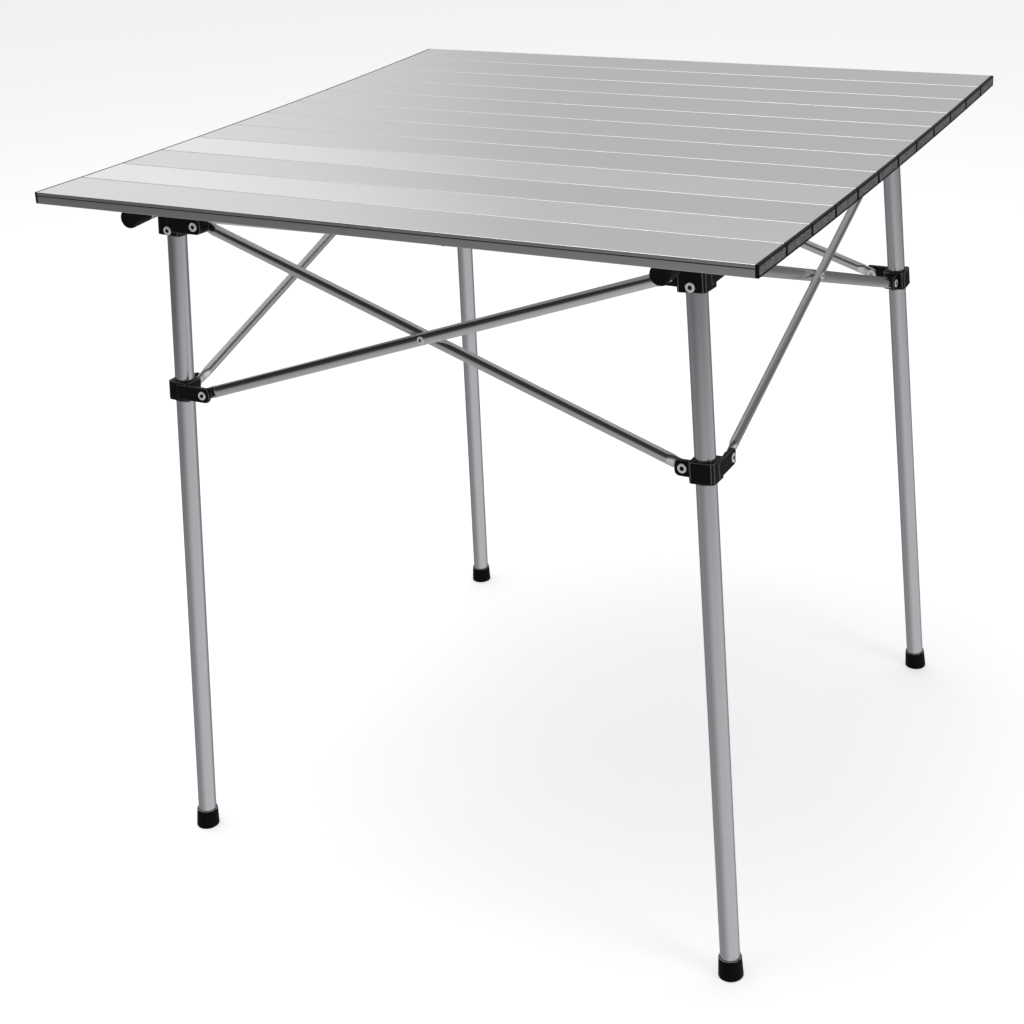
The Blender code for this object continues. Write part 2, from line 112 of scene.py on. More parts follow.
# ================================================================ layout
def round_the_table(step: int) -> Matrix:
    """The quarter turns from the first corner or side to another."""
    return Matrix.Rotation(step * QUARTER, 4, "Z")


@dataclass(frozen=True)
class Layout:
    """Where the legs, sides and brace arms stand, in the frame's own metres."""

    height: float = 0.700
    width: float = 0.700
    depth: float = 0.700
    gap: float = 0.0003
    sag: float = 0.0040
    slat_thick: float = 0.0108
    rail_radius: float = 0.0080
    rail_spacing: float = 0.5220
    leg_spacing: float = 0.5252
    leg_slope: float = 0.0515
    bracket_clearance: float = 0.0004
    top_pivot: float = 0.6560
    slider_pivot: float = 0.4900
    left_pivot_offset: float = 0.0300
    right_pivot_offset: float = 0.0195
    inner_depth: float = -0.0005
    outer_depth: float = 0.0070
    bracket_half: float = 0.0130
    ear_proud: float = 0.0004
    inner_ear_face: float = 0.0013
    inner_ear_thick: float = 0.0033
    outer_ear_face: float = 0.0088
    bracket_outer_ear: float = 0.0026
    slider_outer_ear: float = 0.0035

    @property
    def rail_height(self) -> float:
        """Height of the rails' axes."""
        return self.height - self.sag - self.slat_thick - self.gap - self.rail_radius

    @property
    def bracket_top(self) -> float:
        """Height of the brackets' level tops."""
        return self.rail_height - self.rail_radius - self.bracket_clearance

    def leg_reach(self, height: float) -> float:
        """Distance of a leg's axis from the middle planes at a height."""
        return self.leg_spacing / 2 + (self.bracket_top - height) * self.leg_slope

    def side_frame(self, side: int) -> Matrix:
        """A side's leaning plane: X to the right along the floor, Z up the plane, -Y outwards."""
        lean = Matrix.Rotation(-math.atan(self.leg_slope), 4, "X")
        return round_the_table(side) @ Matrix.Translation((0, -self.leg_reach(0), 0)) @ lean

    def leg_frame(self, corner: int) -> Matrix:
        """A leg's frame: Z up its axis from the floor."""
        tilt = math.atan(self.leg_slope * math.cos(math.atan(self.leg_slope)))
        start = self.side_frame(corner) @ Matrix.Translation((-self.leg_reach(0), 0, 0))
        return start @ Matrix.Rotation(tilt, 4, "Y")

    def up_leg(self, height: float) -> float:
        """Distance up a leg's axis to a height."""
        return height * math.sqrt(1 + 2 * self.leg_slope**2)

    def pivot(self, height: float, is_left: bool, depth: float) -> Vector:
        """A rivet's place in a side's frame.

        Args:
            height: Height above the floor.
            is_left: True for the rivet beside the side's left leg.
            depth: Distance outwards from the side's plane.

        Returns:
            The rivet's point in that frame.
        """
        reach = self.leg_reach(height)
        x = self.left_pivot_offset - reach if is_left else reach - self.right_pivot_offset
        return Vector((x, -depth, height / math.cos(math.atan(self.leg_slope))))

    @property
    def arm_run(self) -> Vector:
        """From an arm's top rivet to its lower one, in its side's frame."""
        return self.pivot(self.slider_pivot, False, 0) - self.pivot(self.top_pivot, True, 0)

    @property
    def arm_slope(self) -> float:
        """How steeply an arm falls along its side, in radians."""
        return math.atan2(-self.arm_run.z, self.arm_run.x)

    def arm_depth(self, layer: Layer) -> float:
        """How far an arm's middle plane lies outside its side's plane."""
        return self.inner_depth if layer is Layer.INNER else self.outer_depth

    def arm_frame(self, side: int, layer: Layer) -> Matrix:
        """A brace arm's frame: origin at its top rivet, X down its length, -Y outwards."""
        is_inner = layer is Layer.INNER
        start = self.pivot(self.top_pivot, is_inner, self.arm_depth(layer))
        turn = Matrix.Rotation(self.arm_slope if is_inner else math.pi - self.arm_slope, 4, "Y")
        return self.side_frame(side) @ Matrix.Translation(start) @ turn

    def surface(self, y: float) -> float:
        """Height of the top's surface at a place from front to rear."""
        return self.height - self.sag * (1 - (2 * y / self.depth) ** 2)


LAYOUT = Layout()
OUTWARDS = Matrix.Rotation(QUARTER, 4, "X")


# ================================================================ work bench
class Workpiece:
    """One mesh object under the edit-mode tools."""

    def __init__(self, name: str, add: Callable[..., object], **settings: object) -> None:
        """Adds a primitive as the only selected object.

        Args:
            name: The piece's name.
            add: The primitive operator.
            **settings: The operator's own settings.
        """
        bpy.ops.object.select_all(action="DESELECT")
        add(**settings)
        self.piece = bpy.context.active_object
        self.piece.name = name
        self.piece.data.name = name
        for _ in range(FINISH_SLOTS):
            self.piece.data.materials.append(None)
        bpy.ops.object.transform_apply(location=True, rotation=True, scale=True)

    @classmethod
    def block(cls, name: str, low: Sequence[float], high: Sequence[float]) -> "Workpiece":
        """A block between two corners."""
        low, high = Vector(low), Vector(high)
        add = bpy.ops.mesh.primitive_cube_add
        return cls(name, add, size=1, location=(low + high) / 2, scale=high - low)

    @classmethod
    def rod(
        cls, name: str, radius: float, low: float, high: float, sides: int = 32, top: float | None = None
    ) -> "Workpiece":
        """A rod along Z, or a cone's trunk if its top has its own radius."""
        return cls(
            name, bpy.ops.mesh.primitive_cone_add, vertices=sides, radius1=radius,
            radius2=radius if top is None else top, depth=high - low, location=(0, 0, (low + high) / 2),
        )

    def open(self) -> bmesh.types.BMesh:
        """Enters edit mode on this piece alone and returns its edit mesh."""
        if bpy.context.mode != "OBJECT":
            bpy.ops.object.mode_set(mode="OBJECT")
        bpy.ops.object.select_all(action="DESELECT")
        self.piece.select_set(True)
        bpy.context.view_layer.objects.active = self.piece
        bpy.ops.object.mode_set(mode="EDIT")
        return bmesh.from_edit_mesh(self.piece.data)

    def close(self) -> "Workpiece":
        """Leaves edit mode."""
        bpy.ops.object.mode_set(mode="OBJECT")
        return self

    def pick(self, kind: str, test: Callable[[object], bool]) -> "Workpiece":
        """Selects the faces or the edges that pass a test, and nothing else."""
        mesh = self.open()
        bpy.ops.mesh.select_mode(type=kind)
        bpy.ops.mesh.select_all(action="DESELECT")
        for item in mesh.faces if kind == "FACE" else mesh.edges:
            item.select_set(test(item))
        bmesh.update_edit_mesh(self.piece.data)
        return self

    def faces(self, test: PointTest) -> "Workpiece":
        """Selects the faces whose middle and normal pass a test."""
        return self.pick("FACE", lambda face: test(face.calc_center_median(), face.normal))

    def edges(self, test: PointTest) -> "Workpiece":
        """Selects the edges whose two ends pass a test."""
        return self.pick("EDGE", lambda edge: test(edge.verts[0].co, edge.verts[1].co))

    def sharp(self, least: float = 30.0, test: PointTest = lambda a, b: True) -> "Workpiece":
        """Selects the edges that turn by more than so many degrees and pass a test."""
        limit = math.radians(least)
        return self.pick(
            "EDGE",
            lambda edge: len(edge.link_faces) == 2
            and edge.calc_face_angle() > limit
            and test(edge.verts[0].co, edge.verts[1].co),
        )

    def extrude(self, x: float = 0.0, y: float = 0.0, z: float = 0.0) -> "Workpiece":
        """Extrudes the selected faces by an offset."""
        bpy.ops.mesh.extrude_region_move(TRANSFORM_OT_translate={"value": (x, y, z)})
        return self

    def resize(self, factors: Number3, centre: Number3) -> "Workpiece":
        """Scales what is selected about a point."""
        bpy.ops.transform.resize(value=factors, center_override=centre)
        return self

    def inset(self, thickness: float, sink: float = 0.0) -> "Workpiece":
        """Insets the selected faces, and sinks them by a depth."""
        bpy.ops.mesh.inset(thickness=thickness, depth=-sink, use_even_offset=True)
        return self

    def hollow(self, wall: float) -> "Workpiece":
        """Opens the two selected end faces and joins their mouths, leaving a wall all round."""
        self.inset(wall)
        bpy.ops.mesh.delete(type="FACE")
        self.open()
        bpy.ops.mesh.select_mode(type="EDGE")
        bpy.ops.mesh.select_all(action="DESELECT")
        bpy.ops.mesh.select_non_manifold(
            extend=False, use_wire=False, use_multi_face=False, use_non_contiguous=False
        )
        bpy.ops.mesh.bridge_edge_loops()
        return self

    def bevel(self, width: float, segments: int = 2, finish: int = -1) -> "Workpiece":
        """Bevels the selected edges, whose new faces may take another of the piece's finishes."""
        bpy.ops.mesh.bevel(
            offset_type="OFFSET", offset=width, segments=segments, affect="EDGES", material=finish,
            clamp_overlap=True,
        )
        return self

    def paint(self, finish: int) -> "Workpiece":
        """Gives the selected faces another of the piece's finishes."""
        for face in bmesh.from_edit_mesh(self.piece.data).faces:
            if face.select:
                face.material_index = finish
        bmesh.update_edit_mesh(self.piece.data)
        return self

    def slice(self, point: Sequence[float], normal: Sequence[float], trim: bool = False) -> "Workpiece":
        """Cuts the whole piece along a plane, and takes off what lies beyond it if told to."""
        self.open()
        bpy.ops.mesh.select_all(action="SELECT")
        bpy.ops.mesh.bisect(plane_co=point, plane_no=normal, use_fill=trim, clear_outer=trim)
        return self

    def merge_flat(self) -> "Workpiece":
        """Merges faces that lie in one plane."""
        self.open()
        bpy.ops.mesh.select_all(action="SELECT")
        bpy.ops.mesh.dissolve_limited(angle_limit=FLAT_TURN)
        return self

    def combine(self, other: "Workpiece", operation: str) -> "Workpiece":
        """Joins another workpiece to this one, or cuts it away, and uses it up."""
        for item in (self, other):
            item.open()
            item.close()
        bpy.ops.object.select_all(action="DESELECT")
        self.piece.select_set(True)
        bpy.context.view_layer.objects.active = self.piece
        change = self.piece.modifiers.new("join", "BOOLEAN")
        change.operation = operation
        change.solver = "EXACT"
        change.object = other.piece
        bpy.ops.object.modifier_apply(modifier=change.name)
        mesh = other.piece.data
        bpy.data.objects.remove(other.piece)
        bpy.data.meshes.remove(mesh)
        return self

    def move(self, matrix: Matrix) -> "Workpiece":
        """Carries the whole mesh to another place."""
        if bpy.context.mode != "OBJECT":
            self.close()
        self.piece.data.transform(matrix)
        self.piece.data.update()
        return self

    def finished(self, smooth: float = 35.0) -> Object:
        """Closes the piece: doubles merged, normals outwards, smooth below an angle.

        Args:
            smooth: The angle in degrees below which faces shade smoothly.

        Returns:
            The finished mesh object.
        """
        self.open()
        bpy.ops.mesh.select_all(action="SELECT")
        bpy.ops.mesh.remove_doubles(threshold=DOUBLES)
        bpy.ops.mesh.normals_make_consistent(inside=False)
        self.close()
        bpy.ops.object.shade_smooth_by_angle(angle=math.radians(smooth))
        even = self.piece.modifiers.new("even", "WEIGHTED_NORMAL")
        even.keep_sharp = True
        bpy.ops.object.modifier_apply(modifier=even.name)
        return self.piece


def copy_of(piece: Object, name: str, matrix: Matrix) -> Object:
    """A copy with its own mesh, carried to another place."""
    made = piece.copy()
    made.data = piece.data.copy()
    made.name = name
    made.data.name = name
    made.data.transform(matrix)
    bpy.context.scene.collection.objects.link(made)
    return made


def drop(piece: Object) -> None:
    """Takes a pattern piece off the bench once its copies are made."""
    mesh = piece.data
    bpy.data.objects.remove(piece)
    bpy.data.meshes.remove(mesh)


def dress(piece: Object, finishes: Iterable[Material]) -> None:
    """Puts finishes on a piece in the order its faces count them."""
    slots = piece.data.materials
    count = 0
    for count, finish in enumerate(finishes, start=1):
        slots[count - 1] = finish
    while len(slots) > count:
        slots.pop(index=len(slots) - 1)


# ================================================================ finishes
class Wiring:
    """A node tree being wired."""

    def __init__(self, tree: bpy.types.NodeTree) -> None:
        """Takes the tree."""
        self.tree = tree

    def node(self, kind: str, **settings: object) -> Node:
        """Adds a node and sets its own options."""
        made = self.tree.nodes.new(kind)
        for key, value in settings.items():
            setattr(made, key, value)
        return made

    def feed(self, socket: Socket, source: object) -> None:
        """Links a socket to an output, or sets it to a value."""
        if isinstance(source, Socket):
            self.tree.links.new(source, socket)
        else:
            socket.default_value = source

    def sum(self, operation: str, first: object, second: object, clamp: bool = False) -> Socket:
        """The result of a Math node."""
        made = self.node("ShaderNodeMath", operation=operation, use_clamp=clamp)
        self.feed(made.inputs[0], first)
        self.feed(made.inputs[1], second)
        return made.outputs[0]

    def spread(self, value: object, low: float, high: float, to_low: object, to_high: object) -> Socket:
        """A value's range carried to another, clamped at both ends."""
        made = self.node("ShaderNodeMapRange")
        for socket, source in zip(made.inputs, (value, low, high, to_low, to_high)):
            self.feed(socket, source)
        return made.outputs["Result"]

    def noise(self, place: object, scale: object, detail: float, rough: float = 0.5) -> Socket:
        """Noise at a place."""
        made = self.node("ShaderNodeTexNoise")
        self.feed(made.inputs["Vector"], place)
        self.feed(made.inputs["Scale"], scale)
        made.inputs["Detail"].default_value = detail
        made.inputs["Roughness"].default_value = rough
        return made.outputs["Fac"]

    def mix(self, share: object, first: object, second: object, blend: str = "MIX") -> Socket:
        """Two colours mixed."""
        made = self.node("ShaderNodeMix", data_type="RGBA", blend_type=blend)
        self.feed(made.inputs["Factor"], share)
        self.feed(made.inputs["A"], first)
        self.feed(made.inputs["B"], second)
        return made.outputs["Result"]


def opaque(colour: Sequence[float]) -> tuple[float, ...]:
    """A colour with full alpha."""
    return (*colour, 1.0)


def grey(level: float) -> Number3:
    """A neutral colour."""
    return (level, level, level)


@dataclass(frozen=True)
class Effect:
    """A shader node group that several finishes share: its name and its named sockets."""

    name: str
    inputs: tuple[tuple[str, str], ...]
    outputs: tuple[tuple[str, str], ...]
    fill: Callable[[Wiring, Node, Node], None]

    def group(self) -> bpy.types.NodeTree:
        """The group, built on its first use."""
        if self.name in bpy.data.node_groups:
            return bpy.data.node_groups[self.name]
        tree = bpy.data.node_groups.new(self.name, "ShaderNodeTree")
        for way, sockets in (("INPUT", self.inputs), ("OUTPUT", self.outputs)):
            for label, kind in sockets:
                tree.interface.new_socket(name=label, in_out=way, socket_type=f"NodeSocket{kind}")
        wiring = Wiring(tree)
        self.fill(wiring, wiring.node("NodeGroupInput"), wiring.node("NodeGroupOutput"))
        return tree

    def placed(self, wiring: Wiring, **values: object) -> Node:
        """The group placed in a material, with its values or links by socket name."""
        made = wiring.node("ShaderNodeGroup", node_tree=self.group())
        for label, source in values.items():
            wiring.feed(made.inputs[label.replace("_", " ")], source)
        return made


def fill_drawn_metal(w: Wiring, given: Node, put: Node) -> None:
    """Fine die lines along the way the metal was drawn, and a soft cloudiness of its anodising."""
    place = w.node("ShaderNodeTexCoord").outputs["Object"]
    along = w.node("ShaderNodeVectorMath", operation="MULTIPLY")
    w.feed(along.inputs[0], place)
    w.feed(along.inputs[1], given.outputs["Stretch"])
    lines = w.noise(along.outputs[0], given.outputs["Grain Scale"], detail=3.0, rough=0.6)
    clouds = w.noise(place, given.outputs["Cloud Scale"], detail=4.0, rough=0.55)
    line_part = w.sum("MULTIPLY", w.sum("SUBTRACT", lines, 0.5), given.outputs["Line Depth"])
    cloud_part = w.sum("MULTIPLY", w.sum("SUBTRACT", clouds, 0.5), given.outputs["Cloud Depth"])
    change = w.sum("ADD", line_part, cloud_part)
    bright = w.sum("MAXIMUM", w.sum("ADD", change, 1.0), 0.0)
    gloss = w.sum("MULTIPLY", change, 0.35)
    w.feed(put.inputs["Colour"], w.mix(1.0, given.outputs["Colour"], bright, "MULTIPLY"))
    w.feed(put.inputs["Roughness"], w.sum("SUBTRACT", given.outputs["Roughness"], gloss))
    w.feed(put.inputs["Height"], lines)


def fill_moulded_grain(w: Wiring, given: Node, put: Node) -> None:
    """The pebbled skin of a moulded plastic, with paler crests."""
    place = w.node("ShaderNodeTexCoord").outputs["Object"]
    cells = w.node("ShaderNodeTexVoronoi", feature="F1")
    w.feed(cells.inputs["Vector"], place)
    w.feed(cells.inputs["Scale"], given.outputs["Grain Scale"])
    mottle_scale = w.sum("MULTIPLY", given.outputs["Grain Scale"], 0.22)
    mottle = w.noise(place, mottle_scale, detail=5.0, rough=0.65)
    pebble = w.sum("MULTIPLY", cells.outputs["Distance"], w.spread(mottle, 0.3, 0.7, 0.5, 1.3))
    crest = w.spread(pebble, 0.2, 0.75, 0.0, 1.0)
    share = w.sum("MULTIPLY", crest, given.outputs["Contrast"], True)
    w.feed(put.inputs["Colour"], w.mix(share, given.outputs["Colour"], given.outputs["Crest Colour"]))
    rough = w.spread(mottle, 0.25, 0.75, given.outputs["Low"], given.outputs["High"])
    w.feed(put.inputs["Roughness"], rough)
    w.feed(put.inputs["Height"], pebble)


def fill_handling(w: Wiring, given: Node, put: Node) -> None:
    """Fine dust and thin scuffs from handling."""
    place = w.node("ShaderNodeTexCoord").outputs["Object"]
    dust = w.spread(w.noise(place, scale=900.0, detail=2.0), 0.62, 0.72, 0.0, 1.0)
    patches = w.spread(w.noise(place, scale=14.0, detail=3.0), 0.45, 0.65, 0.0, 1.0)
    scuff_place = w.node("ShaderNodeVectorMath", operation="MULTIPLY")
    w.feed(scuff_place.inputs[0], place)
    scuff_place.inputs[1].default_value = (40.0, 420.0, 160.0)
    scuffs = w.spread(w.noise(scuff_place.outputs[0], scale=1.0, detail=2.0), 0.68, 0.72, 0.0, 0.6)
    mask = w.sum("MULTIPLY", w.sum("MAXIMUM", dust, scuffs), patches)
    mask = w.sum("MULTIPLY", mask, given.outputs["Amount"], True)
    w.feed(put.inputs["Colour"], w.mix(mask, given.outputs["Colour"], given.outputs["Dust Colour"]))
    rougher = w.sum("MULTIPLY", mask, 0.25)
    w.feed(put.inputs["Roughness"], w.sum("ADD", given.outputs["Roughness"], rougher, True))


DRAWN_METAL = Effect(
    "drawn_metal",
    (
        ("Colour", "Color"), ("Roughness", "Float"), ("Stretch", "Vector"), ("Grain Scale", "Float"),
        ("Line Depth", "Float"), ("Cloud Scale", "Float"), ("Cloud Depth", "Float"),
    ),
    (("Colour", "Color"), ("Roughness", "Float"), ("Height", "Float")),
    fill_drawn_metal,
)
MOULDED_GRAIN = Effect(
    "moulded_grain",
    (
        ("Colour", "Color"), ("Crest Colour", "Color"), ("Grain Scale", "Float"), ("Contrast", "Float"),
        ("Low", "Float"), ("High", "Float"),
    ),
    (("Colour", "Color"), ("Roughness", "Float"), ("Height", "Float")),
    fill_moulded_grain,
)
HANDLING = Effect(
    "handling_marks",
    (("Colour", "Color"), ("Dust Colour", "Color"), ("Amount", "Float"), ("Roughness", "Float")),
    (("Colour", "Color"), ("Roughness", "Float")),
    fill_handling,
)


RELIEF_STRENGTH = 0.6


def empty_material(name: str) -> tuple[Material, Wiring, Node]:
    """A node material with its shader in place.

    Args:
        name: The material's name.

    Returns:
        The material, its wiring and its Principled shader.
    """
    made = bpy.data.materials.new(name)
    made.use_nodes = True
    return made, Wiring(made.node_tree), made.node_tree.nodes["Principled BSDF"]


def finish_surface(
    wiring: Wiring, shader: Node, base: Node, dust: Number3, amount: float, bump: float
) -> None:
    """Lays handling marks over a base effect and wires both to the shader.

    Args:
        wiring: The material's wiring.
        shader: Its Principled shader.
        base: The placed effect that gives Colour, Roughness and Height.
        dust: The dust's colour.
        amount: How much of it shows.
        bump: The relief's height in metres.
    """
    marks = HANDLING.placed(
        wiring, Colour=base.outputs["Colour"], Roughness=base.outputs["Roughness"],
        Dust_Colour=opaque(dust), Amount=amount,
    )
    wiring.feed(shader.inputs["Base Color"], marks.outputs["Colour"])
    wiring.feed(shader.inputs["Roughness"], marks.outputs["Roughness"])
    relief = wiring.node("ShaderNodeBump")
    relief.inputs["Strength"].default_value = RELIEF_STRENGTH
    relief.inputs["Distance"].default_value = bump
    wiring.feed(relief.inputs["Height"], base.outputs["Height"])
    wiring.feed(shader.inputs["Normal"], relief.outputs["Normal"])


@dataclass(frozen=True)
class MetalFinish:
    """A drawn aluminium or steel finish."""

    name: str
    colour: Number3
    roughness: float
    stretch: Number3 = (1.0, 1.0, 1.0)
    grain_scale: float = 400.0
    line_depth: float = 0.08
    cloud_scale: float = 9.0
    cloud_depth: float = 0.08
    metallic: float = 1.0
    dust: Number3 = (0.55, 0.54, 0.53)
    dust_amount: float = 0.25
    bump: float = 0.00002

    def build(self) -> Material:
        """The finish as a material."""
        made, wiring, shader = empty_material(self.name)
        base = DRAWN_METAL.placed(
            wiring, Colour=opaque(self.colour), Roughness=self.roughness, Stretch=self.stretch,
            Grain_Scale=self.grain_scale, Line_Depth=self.line_depth, Cloud_Scale=self.cloud_scale,
            Cloud_Depth=self.cloud_depth,
        )
        finish_surface(wiring, shader, base, self.dust, self.dust_amount, self.bump)
        shader.inputs["Metallic"].default_value = self.metallic
        return made


@dataclass(frozen=True)
class PlasticFinish:
    """A moulded plastic finish."""

    name: str
    colour: Number3
    crest: Number3
    grain_scale: float = 900.0
    contrast: float = 0.6
    low: float = 0.38
    high: float = 0.55
    dust: Number3 = (0.10, 0.10, 0.10)
    dust_amount: float = 0.3
    bump: float = 0.00006
    specular: float = 0.5

    def build(self) -> Material:
        """The finish as a material."""
        made, wiring, shader = empty_material(self.name)
        base = MOULDED_GRAIN.placed(
            wiring, Colour=opaque(self.colour), Crest_Colour=opaque(self.crest),
            Grain_Scale=self.grain_scale, Contrast=self.contrast, Low=self.low, High=self.high,
        )
        finish_surface(wiring, shader, base, self.dust, self.dust_amount, self.bump)
        shader.inputs["Specular IOR Level"].default_value = self.specular
        return made


ALONG_X: Number3 = (0.02, 1.0, 1.0)
ALONG_Z: Number3 = (1.0, 1.0, 0.02)


@dataclass(frozen=True)
class FinishShelf:
    """Every finish of the table, by what it is for."""

    slat: MetalFinish = MetalFinish(
        "slat_satin", grey(0.76), roughness=0.30, stretch=ALONG_X, grain_scale=1500.0, line_depth=0.05,
        cloud_scale=5.0, cloud_depth=0.05,
    )
    # A lighter, glossier copy of the satin finish: a painted sheen for slats that catch more light
    slat_bright: MetalFinish = replace(slat, name="slat_satin_painted_sheen", colour=grey(0.86), roughness=0.26)
    slat_edge: MetalFinish = MetalFinish(
        "slat_bright_edge", grey(0.74), roughness=0.36, stretch=ALONG_X, grain_scale=900.0, line_depth=0.03
    )
    slat_groove: MetalFinish = MetalFinish(
        "slat_groove_shade", (0.10, 0.10, 0.105), roughness=0.5, stretch=ALONG_X, grain_scale=900.0,
        line_depth=0.05,
    )
    leg: MetalFinish = MetalFinish(
        "leg_anodised", (0.74, 0.72, 0.765), roughness=0.24, stretch=ALONG_Z, grain_scale=1200.0,
        line_depth=0.06, cloud_scale=7.0, cloud_depth=0.06,
    )
    brace: MetalFinish = MetalFinish(
        "brace_polished", (0.88, 0.88, 0.89), roughness=0.15, stretch=(0.3, 0.3, 0.3), grain_scale=700.0,
        line_depth=0.05,
    )
    rivet: MetalFinish = MetalFinish(
        "rivet_nickel", (0.95, 0.95, 0.96), roughness=0.25, grain_scale=1500.0, line_depth=0.05,
        metallic=0.45, dust_amount=0.0,
    )
    rivet_bore: MetalFinish = MetalFinish(
        "rivet_bore_shade", (0.012, 0.012, 0.013), roughness=0.7, grain_scale=900.0, metallic=0.0,
        dust_amount=0.0,
    )
    plastic: PlasticFinish = PlasticFinish(
        "moulded_black", (0.003, 0.003, 0.0035), (0.008, 0.008, 0.009), dust_amount=0.15, specular=0.14
    )
    # Pale grey on the black mouldings' rounded edges: a painted highlight where the edges catch the light
    plastic_edge: PlasticFinish = PlasticFinish(
        "moulded_black_painted_highlight", (0.06, 0.06, 0.062), (0.14, 0.14, 0.142), grain_scale=1500.0, contrast=0.5,
        low=0.2, high=0.3,
    )
    cap_panel: PlasticFinish = PlasticFinish(
        "cap_grain", (0.06, 0.06, 0.061), grey(0.22), grain_scale=700.0, contrast=0.85, low=0.42, high=0.65,
        bump=0.00012,
    )
    foot: PlasticFinish = PlasticFinish(
        "foot_rubber", (0.002, 0.002, 0.0025), grey(0.005), grain_scale=700.0, contrast=0.5,
        dust_amount=0.1, specular=0.08,
    )
    # Pale grey for the black foot cup's top annulus at the tube's entry: a painted highlight ring
    foot_rim: PlasticFinish = PlasticFinish(
        "foot_rim", grey(0.60), grey(0.85), grain_scale=900.0, contrast=0.5, low=0.2, high=0.3,
        dust_amount=0.1,
    )

    def built(self) -> dict[str, Material]:
        """Every finish built, by its field's name."""
        return {name: finish.build() for name, finish in vars(self).items()}


# ================================================================ sub-assemblies
@dataclass
class Assembly:
    """A sub-assembly's common ways: its finishes, and how a piece is handed over."""

    finishes: dict[str, Material]
    made: list[str] = field(default_factory=list)

    def hand_over(
        self, piece: Object, body: str, slot: Slot, finishes: Sequence[str], stands_for: Sequence[str] = ()
    ) -> None:
        """Dresses a piece and lets it ride on a body.

        Args:
            piece: The finished piece.
            body: The body it moves with.
            slot: The record's material slot; not used.
            finishes: Names of its finishes in order.
            stands_for: The frame's nodes that it replaces.
        """
        dress(piece, (self.finishes[name] for name in finishes))
        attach(piece, body)
        if stands_for:
            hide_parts(*stands_for)
        self.made.append(piece.name)
        LOG.info("%s rides on %s", piece.name, body)


